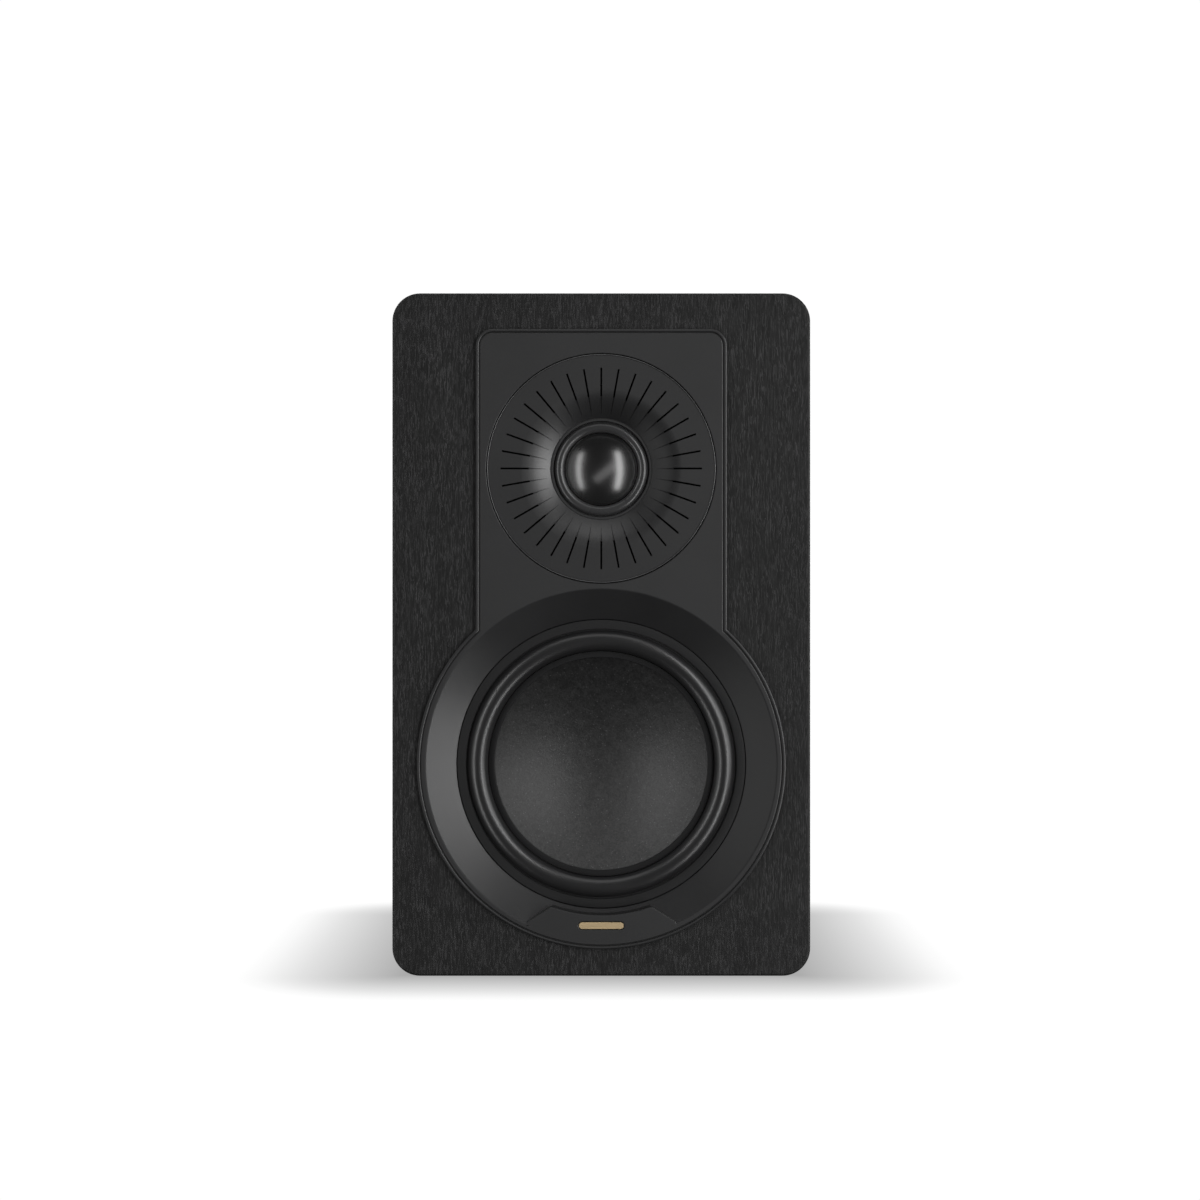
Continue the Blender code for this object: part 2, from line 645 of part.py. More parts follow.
def make_terminals(cup):
    gloss = (BLACK, 0.35)
    flange = rounded_rectangle(CUP_W, CUP_H, 6 * MM)
    outer = rounded_rectangle(RECESS_W + 2 * CUP_WALL, RECESS_H + 2 * CUP_WALL, 5 * MM)
    inner = rounded_rectangle(RECESS_W, RECESS_H, 4 * MM)
    shell = prism("terminal_cup", cup, flange, GAP, CUP_FACE, gloss)
    boolean(shell, prism("join_cup", cup, outer, RECESS_Z - CUP_WALL, MM), "UNION")
    boolean(shell, prism("cut_recess", cup, inner, RECESS_Z, 5 * MM))
    for i, (x, y) in enumerate(corners(*CUP_SCREW)):
        boolean(shell, rod(f"cut_ear_{i}", cup, CUP_PILOT_R, -5 * MM, 5 * MM, 8, at=(x, y, 0)))
        head = CUP_FACE + GAP
        screw(f"cup_screw_{i + 1}", cup, (x, y), head, 2.8 * MM, 1.5 * MM, 12 * MM, 1.4 * MM)
    # Seen from behind, the red terminal is on the right, at the frame's +x.
    for colour, x, color in (("red", POST_X, RED), ("black", -POST_X, BLACK)):
        at = (x, 0, 0)
        name = f"cut_post_{colour}"
        boolean(shell, rod(name, cup, POST_R + GAP, RECESS_Z - 5 * MM, RECESS_Z + 5 * MM, 12, at=at))
        make_post(cup, colour, at)
        slide = frame(f"clamp_{colour}_slide", at, (0, 0, 0), cup)
        turn = frame(f"knob_{colour}_turn", (0, 0, 0), (0, 0, 0), slide)
        make_clamp(slide, turn, colour, color)


def make_post(cup, colour, at):
    """A threaded post with a collar on the recess floor, and the nut that pulls it tight from inside."""
    collar_r = 5 * MM
    collar_low = RECESS_Z + GAP
    post = [
        (0, -MM),
        (POST_R, -MM),
        (POST_R, COLLAR_TOP),
        (collar_r, COLLAR_TOP),
        (collar_r, collar_low),
        (POST_R, collar_low),
        (POST_R, POST_LOW),
        (0, POST_LOW),
    ]
    turned(f"terminal_post_{colour}", cup, post, 12, (GOLD, 0.25, 1.0), at)
    nut_top = RECESS_Z - CUP_WALL - GAP
    nut_low = nut_top - 3.2 * MM
    ring(f"post_nut_{colour}", cup, POST_R + GAP, 4.2 * MM, nut_low, nut_top, 6, (STEEL, 0.3, 1.0), at)


def make_clamp(slide, turn, colour, color):
    """The washer that slides along the post, and the knob that pushes it."""
    bore = POST_R + GAP
    seat = COLLAR_TOP + GAP
    washer_top = seat + 1.2 * MM
    ring(f"clamp_washer_{colour}", slide, bore, 5.6 * MM, seat, washer_top, 16, (GOLD, 0.25, 1.0))
    chamfer = 0.8 * MM
    knob = [
        (0, KNOB_TOP),
        (0, MM),
        (bore, MM),
        (bore, washer_top + GAP),
        (KNOB_R, washer_top + GAP),
        (KNOB_R, KNOB_TOP - chamfer),
        (KNOB_R - chamfer, KNOB_TOP),
    ]
    turned(f"terminal_knob_{colour}", turn, knob[1:] + knob[:1], 16, (color, 0.35))


def make_crossover(cup):
    """A board on the posts' inner ends, with its parts on the side away from the cup."""
    face = BOARD_Z - BOARD_T - GAP
    low = (-CUP_W / 2, -BOARD_HALF, BOARD_Z - BOARD_T)
    board = block("crossover_board", cup, low, (CUP_W / 2, BOARD_HALF, BOARD_Z), (BOARD, 0.6))
    for i, x in enumerate((POST_X, -POST_X)):
        boolean(board, rod(f"cut_board_{i}", cup, POST_R + GAP, -40 * MM, -20 * MM, 12, at=(x, 0, 0)))
    coil = (COPPER, 0.3, 1.0)
    ring("woofer_inductor", cup, 7 * MM, 15 * MM, face - 14 * MM, face, 24, coil, (26 * MM, 14 * MM, 0))
    ring("tweeter_inductor", cup, 4 * MM, 10 * MM, face - 9 * MM, face, 16, coil, (-30 * MM, 18 * MM, 0))
    capacitor_r = 6 * MM
    capacitor_half = 12 * MM
    film = ((0.5, 0.42, 0.1), 0.35)
    capacitor = rod("tweeter_capacitor", cup, capacitor_r, -capacitor_half, capacitor_half, 16, film)
    capacitor.location = (-22 * MM, -18 * MM, face - capacitor_r - 0.2 * MM)
    capacitor.rotation_euler = (0, math.pi / 2, 0)
    resistor_low = (8 * MM, -24 * MM, face - 6 * MM)
    resistor_high = (30 * MM, -17 * MM, face)
    block("tweeter_resistor", cup, resistor_low, resistor_high, ((0.7, 0.7, 0.66), 0.7))


def make_loom():
    """Two twisted pairs, from the board to each driver."""
    look = (RED, 0.5)
    board_y = REAR_Y + BOARD_Z - BOARD_T - GAP - 2 * MM
    tag_z = CUP_Z - 10 * MM
    strip_y = FRONT_Y + 30.5 * MM
    ends = ((47.2 * MM, strip_y, WOOFER_Z), (36 * MM, board_y, tag_z))
    pulls = ((48 * MM, strip_y + 45 * MM, WOOFER_Z), (40 * MM, board_y - 50 * MM, tag_z))
    wire("woofer_wire", None, bezier(ends, pulls, 10), WIRE_R, look)
    ends = ((30 * MM, FRONT_Y + 17 * MM, TWEETER_Z), (-38 * MM, board_y, tag_z))
    pulls = ((20 * MM, -20 * MM, TWEETER_Z - 32 * MM), (-40 * MM, -10 * MM, tag_z - 4 * MM))
    wire("tweeter_wire", None, bezier(ends, pulls, 14), WIRE_R, look)


def make_damping():
    """Felt pads on the two side panels, behind the woofer's basket."""
    inner = WIDTH / 2 - WALL - GAP
    thickness = 7 * MM
    half = 55 * MM
    for name, side in (("damping_pad_left", -1), ("damping_pad_right", 1)):
        x = sorted((side * inner, side * (inner - thickness)))
        block(name, None, (x[0], -half, 30 * MM), (x[1], half, 215 * MM), (FELT, 0.95))


def main():
    woofer = front_frame("woofer_frame", WOOFER_Z)
    tweeter = front_frame("tweeter_frame_axis", TWEETER_Z)
    port = rear_frame("port_frame", PORT_Z)
    cup = rear_frame("cup_frame", CUP_Z)
    cone_frame = frame("woofer_cone_slide", (0, 0, 0), (0, 0, 0), woofer)
    dome_frame = frame("tweeter_dome_slide", (0, 0, 0), (0, 0, 0), tweeter)
    cabinet = make_sleeve()
    make_baffle(cabinet, woofer, tweeter)
    make_trim(woofer, tweeter)
    make_basket(woofer)
    make_diaphragm(woofer, cone_frame)
    make_woofer_motor(woofer)
    make_tweeter(tweeter)
    make_dome(tweeter, dome_frame)
    make_tweeter_motor(tweeter)
    make_port(port)
    make_rear_panel(cabinet, port, cup)
    make_terminals(cup)
    make_crossover(cup)
    make_loom()
    make_damping()


clear_scene()
PARTS = collection("bookshelf_speaker")
CUTTERS = collection("cutters", helper=True)
main()
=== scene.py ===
"""Looks of a compact two-way bookshelf loudspeaker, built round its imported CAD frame.

World units are metres. A front frame has x to the right, y up and z out of the baffle, with its origin on
the baffle at a driver's axis. A rear frame is the same seen from behind, with z out of the back.
"""

import json
import math

import bmesh
import bpy
from mathutils import Matrix, Vector

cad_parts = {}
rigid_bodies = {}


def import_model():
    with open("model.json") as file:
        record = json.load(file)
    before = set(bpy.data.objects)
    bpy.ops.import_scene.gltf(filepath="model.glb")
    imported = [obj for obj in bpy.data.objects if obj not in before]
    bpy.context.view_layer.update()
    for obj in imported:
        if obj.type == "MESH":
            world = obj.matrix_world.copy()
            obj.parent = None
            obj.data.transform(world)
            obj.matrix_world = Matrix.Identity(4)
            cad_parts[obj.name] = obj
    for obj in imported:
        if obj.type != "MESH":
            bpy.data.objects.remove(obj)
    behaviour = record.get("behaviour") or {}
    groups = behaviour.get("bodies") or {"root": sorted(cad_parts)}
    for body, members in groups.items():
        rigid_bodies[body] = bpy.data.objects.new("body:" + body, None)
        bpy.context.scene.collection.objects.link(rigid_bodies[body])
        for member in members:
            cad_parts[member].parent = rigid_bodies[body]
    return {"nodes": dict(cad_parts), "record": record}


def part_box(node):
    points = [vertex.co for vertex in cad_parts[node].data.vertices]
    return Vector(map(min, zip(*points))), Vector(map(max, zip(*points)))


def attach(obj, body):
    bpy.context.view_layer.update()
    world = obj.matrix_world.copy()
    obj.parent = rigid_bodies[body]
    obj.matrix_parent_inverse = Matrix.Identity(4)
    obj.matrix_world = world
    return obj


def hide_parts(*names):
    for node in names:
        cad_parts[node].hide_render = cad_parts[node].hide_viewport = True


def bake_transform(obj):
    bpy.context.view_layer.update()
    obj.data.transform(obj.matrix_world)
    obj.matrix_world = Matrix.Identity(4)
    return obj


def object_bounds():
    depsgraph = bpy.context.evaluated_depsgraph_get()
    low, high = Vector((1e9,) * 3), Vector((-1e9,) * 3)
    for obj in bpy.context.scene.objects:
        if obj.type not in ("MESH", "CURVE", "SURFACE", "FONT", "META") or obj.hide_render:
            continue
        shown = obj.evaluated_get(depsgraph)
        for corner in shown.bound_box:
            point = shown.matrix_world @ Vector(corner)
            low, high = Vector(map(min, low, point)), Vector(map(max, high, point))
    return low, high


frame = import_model()
cad_low, cad_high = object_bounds()

MM = 0.001
WIDTH = cad_high.x - cad_low.x
HEIGHT = cad_high.z
FRONT_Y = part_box("front_baffle")[0].y
REAR_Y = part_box("rear_panel")[1].y
DEPTH = REAR_Y - FRONT_Y
CORNER_R = 10 * MM
WALL = 12 * MM
BAFFLE_T = 15 * MM
PAST = 5 * MM  # how far a cutter runs past the face it opens

WOOFER_SEAT_R = 65 * MM
WOOFER_SEAT_Z = -7.7 * MM
WOOFER_HOLE_R = 54.5 * MM
TWEETER_SEAT_R = 41.4 * MM
TWEETER_SEAT_Z = -7.2 * MM
TWEETER_HOLE_R = 29 * MM
PORT_HOLE_R = 23.5 * MM

TRIM_FACE = FRONT_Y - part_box("front_trim")[0].y
TRIM_HALF = 45 * MM
TRIM_R = 66.1 * MM
TRIM_CORNER_R = 6 * MM
CHAMFER_R = 63 * MM
THROAT_R = 52.2 * MM
THROAT_Z = -3.9 * MM
PLATEAU_R = 53.9 * MM
PLATEAU_HALF_DEG = 19.6
PLATEAU_SIDE = (26.4 * MM, -56 * MM)
BADGE_W = 16 * MM
BADGE_H = 2.4 * MM
BADGE_DROP = 57.6 * MM

ROLL_R = 44.4 * MM
ROLL_RADIUS = 3.65 * MM
ROLL_BASE = -4.7 * MM
LIP_IN = 38.3 * MM
LIP_OUT = 40.75 * MM
CONE_Z = -5.6 * MM
CONE_DEPTH = 13.8 * MM

DISC_R = 40.9 * MM
DISC_HOLE_R = 41.15 * MM
HORN_MOUTH_R = 29 * MM
HORN_THROAT_R = 18.4 * MM
HORN_DEPTH = 4.6 * MM
HORN_CURVE = 1.7
HORN_FLOOR = -3.1 * MM
SLOTS = 36
SLOT_HALF = 0.32 * MM
DOME_R = 13 * MM
DOME_Z = -4.2 * MM
DOME_H = 4.8 * MM

CUP_W = 84 * MM
CUP_H = 62 * MM
CUP_CORNER = 6 * MM
CUP_FACE = 2.8 * MM
CUP_FLOOR = -14 * MM
EAR_X = 38 * MM
EAR_Y = 27 * MM
EARS = ((EAR_X, EAR_Y), (-EAR_X, EAR_Y), (-EAR_X, -EAR_Y), (EAR_X, -EAR_Y))
POST_X = 15 * MM
POST_HOLE_R = 2.3 * MM


def centre(node):
    low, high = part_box(node)
    return (low + high) / 2


WOOFER_Z = centre("woofer_magnet").z
TWEETER_Z = centre("tweeter_magnet").z
PORT_Z = centre("port_tube").z
CUP_Z = centre("terminal_cup").z
TRIM_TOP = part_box("front_trim")[1].z - WOOFER_Z


def front(height):
    return Matrix.Translation((0, FRONT_Y, height)) @ Matrix.Rotation(math.pi / 2, 4, "X")


def rear(height):
    turn = Matrix.Rotation(math.pi, 4, "Z") @ Matrix.Rotation(math.pi / 2, 4, "X")
    return Matrix.Translation((0, REAR_Y, height)) @ turn


WOOFER = front(WOOFER_Z)
TWEETER = front(TWEETER_Z)
CABINET = front(HEIGHT / 2)
PORT = rear(PORT_Z)
CUP = rear(CUP_Z)
BADGE = WOOFER @ Matrix.Translation((0, -BADGE_DROP, 0))


# ---- mesh tools

def add(name, points, faces, at):
    """A mesh object at a frame, with its faces turned outwards."""
    mesh = bpy.data.meshes.new(name)
    mesh.from_pydata(points, [], faces)
    shape = bmesh.new()
    shape.from_mesh(mesh)
    bmesh.ops.recalc_face_normals(shape, faces=shape.faces)
    shape.to_mesh(mesh)
    shape.free()
    obj = bpy.data.objects.new(name, mesh)
    obj.matrix_world = at
    bpy.context.scene.collection.objects.link(obj)
    smooth(obj)
    return obj


def smooth(obj, degrees=32):
    obj.data.shade_smooth()
    obj.data.set_sharp_from_angle(angle=math.radians(degrees))


def loft(name, loops, at):
    """Joins rings of equally many points, and closes both ends with a flat face."""
    count = len(loops[0])
    points = [p for loop in loops for p in loop]
    faces = []
    for k in range(len(loops) - 1):
        for i in range(count):
            j = (i + 1) % count
            faces.append((k * count + i, k * count + j, (k + 1) * count + j, (k + 1) * count + i))
    last = (len(loops) - 1) * count
    faces.append(tuple(range(count)))
    faces.append(tuple(range(last, last + count)))
    return add(name, points, faces, at)


def lathe(name, profile, at, steps=192):
    """Turns (radius, z) points round z. It is solid where the profile starts and ends on the axis."""
    solid = profile[0][0] == 0 and profile[-1][0] == 0
    body = profile[1:-1] if solid else profile
    count = len(body)
    points = []
    for k in range(steps):
        angle = 2 * math.pi * k / steps
        points += [(r * math.cos(angle), r * math.sin(angle), z) for r, z in body]
    faces = []
    for k in range(steps):
        a = k * count
        b = (k + 1) % steps * count
        for i in range(count if not solid else count - 1):
            j = (i + 1) % count
            faces.append((a + i, b + i, b + j, a + j))
        if solid:
            faces.append((a, b, steps * count))
            faces.append((a + count - 1, b + count - 1, steps * count + 1))
    if solid:
        points += [(0, 0, profile[0][1]), (0, 0, profile[-1][1])]
    return add(name, points, faces, at)


def arc(x, y, radius, start, end, count):
    """Points round a circle from start to end, in degrees."""
    found = []
    for i in range(count + 1):
        angle = math.radians(start + (end - start) * i / count)
        found.append((x + radius * math.cos(angle), y + radius * math.sin(angle)))
    return found


def rounded(points, radius, count=3, closed=True):
    """Replaces each corner of a flat outline by an arc, smaller where the sides are short."""
    found = []
    total = len(points)
    for i, point in enumerate(points):
        if not closed and i in (0, total - 1):
            found.append(tuple(point))
            continue
        here = Vector(point)
        before = Vector(points[i - 1]) - here
        after = Vector(points[(i + 1) % total]) - here
        angle = before.angle(after)
        reach = min(radius / math.tan(angle / 2), before.length * 0.45, after.length * 0.45)
        if angle > math.radians(165) or reach < 1e-6:
            found.append(tuple(point))
            continue
        start = here + before.normalized() * reach
        end = here + after.normalized() * reach
        for k in range(count + 1):
            t = k / count
            found.append(tuple(start * (1 - t) ** 2 + here * 2 * t * (1 - t) + end * t * t))
    return found


def rectangle(width, height, radius, count=8):
    x = width / 2 - radius
    y = height / 2 - radius
    corners = ((x, y, 0), (-x, y, 90), (-x, -y, 180), (x, -y, 270))
    return [p for cx, cy, a in corners for p in arc(cx, cy, radius, a, a + 90, count)]


def level(outline, z):
    return [(x, y, z) for x, y in outline]


def prism(name, outline, low, high, at):
    return loft(name, [level(outline, low), level(outline, high)], at)


def settle(obj):
    """Applies the modifiers to the mesh."""
    graph = bpy.context.evaluated_depsgraph_get()
    mesh = bpy.data.meshes.new_from_object(obj.evaluated_get(graph))
    obj.modifiers.clear()
    obj.data = mesh


def carve(obj, cutter, operation="DIFFERENCE"):
    modifier = obj.modifiers.new("Cut", "BOOLEAN")
    modifier.operation = operation
    modifier.solver = "EXACT"
    modifier.object = cutter
    bpy.context.view_layer.update()
    settle(obj)
    bpy.data.objects.remove(cutter)


def soften(obj, width, wanted, count=3):
    """Rounds the sharp edges for which wanted(point, point) is true."""
    shape = bmesh.new()
    shape.from_mesh(obj.data)
    bmesh.ops.remove_doubles(shape, verts=shape.verts, dist=1e-7)
    bmesh.ops.dissolve_degenerate(shape, edges=shape.edges, dist=1e-7)
    weight = shape.edges.layers.float.new("bevel_weight_edge")
    for edge in shape.edges:
        if len(edge.link_faces) == 2 and edge.calc_face_angle() > math.radians(20):
            edge[weight] = wanted(*[v.co for v in edge.verts])
    shape.to_mesh(obj.data)
    shape.free()
    bevel = obj.modifiers.new("Edge", "BEVEL")
    bevel.limit_method = "WEIGHT"
    bevel.width = width
    bevel.segments = count
    bevel.use_clamp_overlap = True
    bevel.miter_outer = "MITER_ARC"
    bpy.context.view_layer.update()
    settle(obj)
    smooth(obj)
    weigh(obj)


def weigh(obj):
    """Lets large flat faces keep their own shading next to small rounded ones."""
    normals = obj.modifiers.new("Normals", "WEIGHTED_NORMAL")
    normals.keep_sharp = True
    normals.weight = 100


def finish_piece(obj, body, slot, look, *nodes):
    obj.data.materials.clear()
    obj.data.materials.append(look)
    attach(obj, body)
    if nodes:
        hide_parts(*nodes)
    return obj


# ---- materials

class Look:
    """A Principled material whose colour, roughness and bump come from noise in the piece's own space."""

    def __init__(self, name, roughness=0.5, metallic=0.0, specular=0.5):
        self.material = bpy.data.materials.new(name)
        self.material.use_nodes = True
        self.nodes = self.material.node_tree.nodes
        self.links = self.material.node_tree.links
        self.shader = self.nodes["Principled BSDF"]
        self.shader.inputs["Roughness"].default_value = roughness
        self.shader.inputs["Metallic"].default_value = metallic
        self.shader.inputs["Specular IOR Level"].default_value = specular
        self.coordinates = self.nodes.new("ShaderNodeTexCoord").outputs["Object"]

    def mapped(self, scale, source=None):
        node = self.nodes.new("ShaderNodeMapping")
        node.inputs["Scale"].default_value = scale
        self.links.new(source or self.coordinates, node.inputs["Vector"])
        return node.outputs["Vector"]

    def noise(self, scale, detail=3.0, vector=None, roughness=0.5, distortion=0.0):
        node = self.nodes.new("ShaderNodeTexNoise")
        node.inputs["Scale"].default_value = scale
        node.inputs["Detail"].default_value = detail
        node.inputs["Roughness"].default_value = roughness
        node.inputs["Distortion"].default_value = distortion
        self.links.new(vector or self.coordinates, node.inputs["Vector"])
        return node.outputs["Fac"]

    def cells(self, scale):
        node = self.nodes.new("ShaderNodeTexVoronoi")
        node.inputs["Scale"].default_value = scale
        self.links.new(self.coordinates, node.inputs["Vector"])
        return node.outputs["Distance"]

    def ramp(self, fac, stops):
        """A colour ramp: stops are (position, grey or colour)."""
        node = self.nodes.new("ShaderNodeValToRGB")
        elements = node.color_ramp.elements
        while len(elements) < len(stops):
            elements.new(0.5)
        for element, (position, value) in zip(elements, stops):
            color = (value,) * 3 if isinstance(value, (int, float)) else value
            element.position = position
            element.color = (*color, 1)
        self.links.new(fac, node.inputs["Fac"])
        return node.outputs["Color"]

    def blend(self, fac, a, b, mode="MIX"):
        """Mixes two colours. Sockets 0, 6 and 7 are the node's factor and its colours A and B."""
        node = self.nodes.new("ShaderNodeMix")
        node.data_type = "RGBA"
        node.blend_type = mode
        for socket, value in ((node.inputs[0], fac), (node.inputs[6], a), (node.inputs[7], b)):
            if isinstance(value, bpy.types.NodeSocket):
                self.links.new(value, socket)
            elif isinstance(value, (int, float)):
                socket.default_value = value
            else:
                socket.default_value = (*value, 1)
        return node.outputs[2]

    def math(self, operation, a, b=0.0):
        node = self.nodes.new("ShaderNodeMath")
        node.operation = operation
        for socket, value in zip(node.inputs, (a, b)):
            if isinstance(value, bpy.types.NodeSocket):
                self.links.new(value, socket)
            else:
                socket.default_value = value
        return node.outputs[0]

    def color(self, source):
        self.links.new(source, self.shader.inputs["Base Color"])
        return self

    def rough(self, fac, low, high):
        node = self.nodes.new("ShaderNodeMapRange")
        node.inputs["To Min"].default_value = low
        node.inputs["To Max"].default_value = high
        self.links.new(fac, node.inputs["Value"])
        self.links.new(node.outputs["Result"], self.shader.inputs["Roughness"])
        return self

    def bump(self, height, depth):
        """Height from 0 to 1 stands for depth in metres. Calls add up."""
        node = self.nodes.new("ShaderNodeBump")
        node.inputs["Distance"].default_value = depth
        node.inputs["Strength"].default_value = 1.0
        self.links.new(height, node.inputs["Height"])
        normal = self.shader.inputs["Normal"]
        if normal.is_linked:
            self.links.new(normal.links[0].from_socket, node.inputs["Normal"])
        self.links.new(node.outputs["Normal"], normal)
        return self


def shade(color, factor):
    return tuple(c * factor for c in color)


def moulded(name, color, roughness, grain=0.35, depth=0.02, specular=0.5, metallic=0.0):
    """Moulded plastic, rubber or coated metal: a fine even grain, with faint cloudiness."""
    look = Look(name, roughness, metallic, specular)
    clouds = look.noise(45, 4)
    fine = look.noise(1000 / grain, 2)
    look.color(look.ramp(clouds, ((0.3, shade(color, 0.9)), (0.7, shade(color, 1.1)))))
    look.rough(clouds, roughness - 0.04, roughness + 0.04)
    look.bump(fine, depth * MM)
    return look.material


def vinyl():
    """Black wood-grain foil, along UV's u: short light strands in loose clusters over fine dark pores."""
    look = Look("black_woodgrain_vinyl", 0.5, specular=0.42)
    uv = look.nodes.new("ShaderNodeTexCoord").outputs["UV"]
    fibres = look.noise(1, 2, look.mapped((250, 2150, 1), uv), 0.6, 1.0)
    clusters = look.noise(1, 2, look.mapped((70, 240, 1), uv), 0.5, 0.6)
    pores = look.noise(1, 3, look.mapped((130, 1050, 1), uv), 0.6, 0.5)
    bands = look.noise(1, 2, look.mapped((12, 110, 1), uv), 0.5, 0.4)
    strands = look.math("MULTIPLY", look.ramp(fibres, ((0.53, 0.0), (0.62, 1.0))),
                        look.ramp(clusters, ((0.38, 0.4), (0.6, 1.0))))
    ground = look.ramp(pores, ((0.38, 0.0045), (0.5, 0.0092), (0.64, 0.0135)))
    toned = look.blend(strands, ground, (0.035, 0.0345, 0.0355))
    broad = look.ramp(bands, ((0.3, 0.82), (0.7, 1.18)))
    look.color(look.blend(1.0, toned, broad, "MULTIPLY"))
    look.rough(pores, 0.6, 0.46)
    look.bump(pores, 0.04 * MM)
    look.bump(strands, 0.05 * MM)
    return look.material


def paper():
    """Pressed black cone paper: matted fibres with tiny light specks."""
    look = Look("cone_paper", 0.5, specular=0.75)
    fibres = look.noise(900, 4, distortion=1.5)
    clumps = look.noise(260, 4)
    specks = look.cells(640)
    base = look.ramp(fibres, ((0.38, 0.007), (0.62, 0.026)))
    mottled = look.blend(1.0, base, look.ramp(clumps, ((0.35, 0.75), (0.65, 1.25))), "MULTIPLY")
    mask = look.ramp(specks, ((0.07, 1.0), (0.16, 0.0)))
    look.color(look.blend(mask, mottled, (0.085, 0.085, 0.087)))
    look.rough(clumps, 0.46, 0.56)
    look.bump(fibres, 0.08 * MM)
    look.bump(clumps, 0.06 * MM)
    return look.material


def varnished():
    """The dome's coated film: glossy black, with the faintest cloudiness."""
    look = Look("dome_film", 0.25, specular=1.0)
    look.shader.inputs["Coat Weight"].default_value = 1.0
    look.shader.inputs["Coat Roughness"].default_value = 0.24
    clouds = look.noise(160, 3)
    weave = look.noise(2200, 2)
    look.color(look.ramp(clouds, ((0.3, 0.0085), (0.7, 0.0105))))
    look.rough(clouds, 0.23, 0.27)
    look.bump(weave, 0.004 * MM)
    return look.material


def brushed(name, color, roughness=0.3, metallic=1.0):
    """Metal with fine lines along the piece's x."""
    look = Look(name, roughness, metallic)
    lines = look.noise(120, 3, look.mapped((1, 40, 40)))
    look.color(look.ramp(lines, ((0.3, shade(color, 0.88)), (0.7, shade(color, 1.08)))))
    look.rough(lines, roughness - 0.06, roughness + 0.08)
    look.bump(lines, 0.004 * MM)
    return look.material


def felted(name, color):
    """Felt or woven cloth: loose, rough fibres."""
    look = Look(name, 0.95, specular=0.2)
    fuzz = look.noise(700, 5, distortion=2.0)
    look.color(look.ramp(fuzz, ((0.3, shade(color, 0.6)), (0.7, shade(color, 1.3)))))
    look.bump(fuzz, 0.3 * MM)
    return look.material


def wound(name, color):
    """Enamelled copper, with the turns as fine waves."""
    look = Look(name, 0.3, 1.0)
    turns = look.noise(1, 2, look.mapped((60, 60, 2600)))
    look.color(look.ramp(turns, ((0.35, shade(color, 0.5)), (0.65, color))))
    look.rough(turns, 0.25, 0.4)
    look.bump(turns, 0.1 * MM)
    return look.material


def speckled(name, color, roughness=0.6):
    """Pressed, sintered or laminated stuff with a visible grain."""
    look = Look(name, roughness, specular=0.4)
    grains = look.noise(600, 5)
    look.color(look.ramp(grains, ((0.35, shade(color, 0.75)), (0.65, shade(color, 1.15)))))
    look.rough(grains, roughness - 0.08, roughness + 0.08)
    look.bump(grains, 0.04 * MM)
    return look.material


VINYL = vinyl()
TRIM = moulded("trim_plastic", (0.024, 0.024, 0.0248), 0.36, 0.25, 0.012, 0.7)
DISC = moulded("waveguide_plastic", (0.0155, 0.0155, 0.0161), 0.4, 0.2, 0.008, 0.7)
# A much lighter copy of the waveguide plastic: painted highlight for the fine ridge round the disc's edge.
RIM = moulded("rim_plastic", (0.075, 0.075, 0.077), 0.24, 0.2, 0.004, 1.0)
RING = moulded("gasket_rubber", (0.0115, 0.0115, 0.012), 0.6, 0.3, 0.02, 0.4)
RUBBER = moulded("surround_rubber", (0.015, 0.015, 0.0156), 0.34, 0.2, 0.01, 0.9)
# A darker copy of the surround rubber: painted shade for the recessed lip beside the roll.
LIP_RUBBER_PAINTED_SHADE = moulded("surround_lip_rubber_painted_shade", (0.0075, 0.0075, 0.008), 0.5, 0.2, 0.01, 0.4)
PAPER = paper()
DOME = varnished()
FILM = moulded("tweeter_surround_film", (0.042, 0.042, 0.043), 0.27, 0.3, 0.006, 0.8)
PORT_PLASTIC = moulded("port_plastic", (0.016, 0.016, 0.017), 0.38, 0.4, 0.02)
CUP_PLASTIC = moulded("cup_plastic", (0.018, 0.018, 0.019), 0.34, 0.5, 0.02)
GOLD = brushed("badge_gold", (0.70, 0.53, 0.31), 0.38, metallic=0.3)
PLATING = brushed("gold_plating", (0.83, 0.62, 0.26), 0.16)
KNOB_BLACK = moulded("knob_black_plastic", (0.014, 0.014, 0.015), 0.3, 0.5, 0.01)
KNOB_RED = moulded("knob_red_plastic", (0.42, 0.012, 0.010), 0.3, 0.5, 0.01)
SCREW_BLACK = moulded("screw_black", (0.02, 0.02, 0.022), 0.34, 0.3, 0.01, metallic=0.8)

NODE_LOOKS = {
    "felt": felted("felt", (0.28, 0.28, 0.27)),
    "basket_metal": moulded("basket_metal", (0.02, 0.02, 0.02), 0.45, 0.3, 0.02, metallic=0.3),
    "coil_former": speckled("coil_former", (0.38, 0.26, 0.11)),
    "copper": wound("copper", (0.72, 0.33, 0.16)),
    "spider_cloth": felted("spider_cloth", (0.33, 0.21, 0.07)),
    "plated_steel": brushed("plated_steel", (0.6, 0.61, 0.62)),
    "ferrite": speckled("ferrite", (0.05, 0.05, 0.054), 0.55),
    "phenolic_board": speckled("phenolic_board", (0.33, 0.2, 0.08), 0.5),
    "screw_black": SCREW_BLACK,
    "tweeter_plastic": moulded("tweeter_plastic", (0.004, 0.004, 0.004), 0.7, 0.4, 0.02, 0.2),
    "gold_plating": PLATING,
    "capacitor_film": moulded("capacitor_film", (0.55, 0.36, 0.03), 0.2, 1.5, 0.02),
    "resistor_ceramic": speckled("resistor_ceramic", (0.62, 0.61, 0.56)),
    "wire_insulation": moulded("wire_insulation", (0.32, 0.02, 0.02), 0.4, 0.5, 0.02),
}


# ---- cabinet

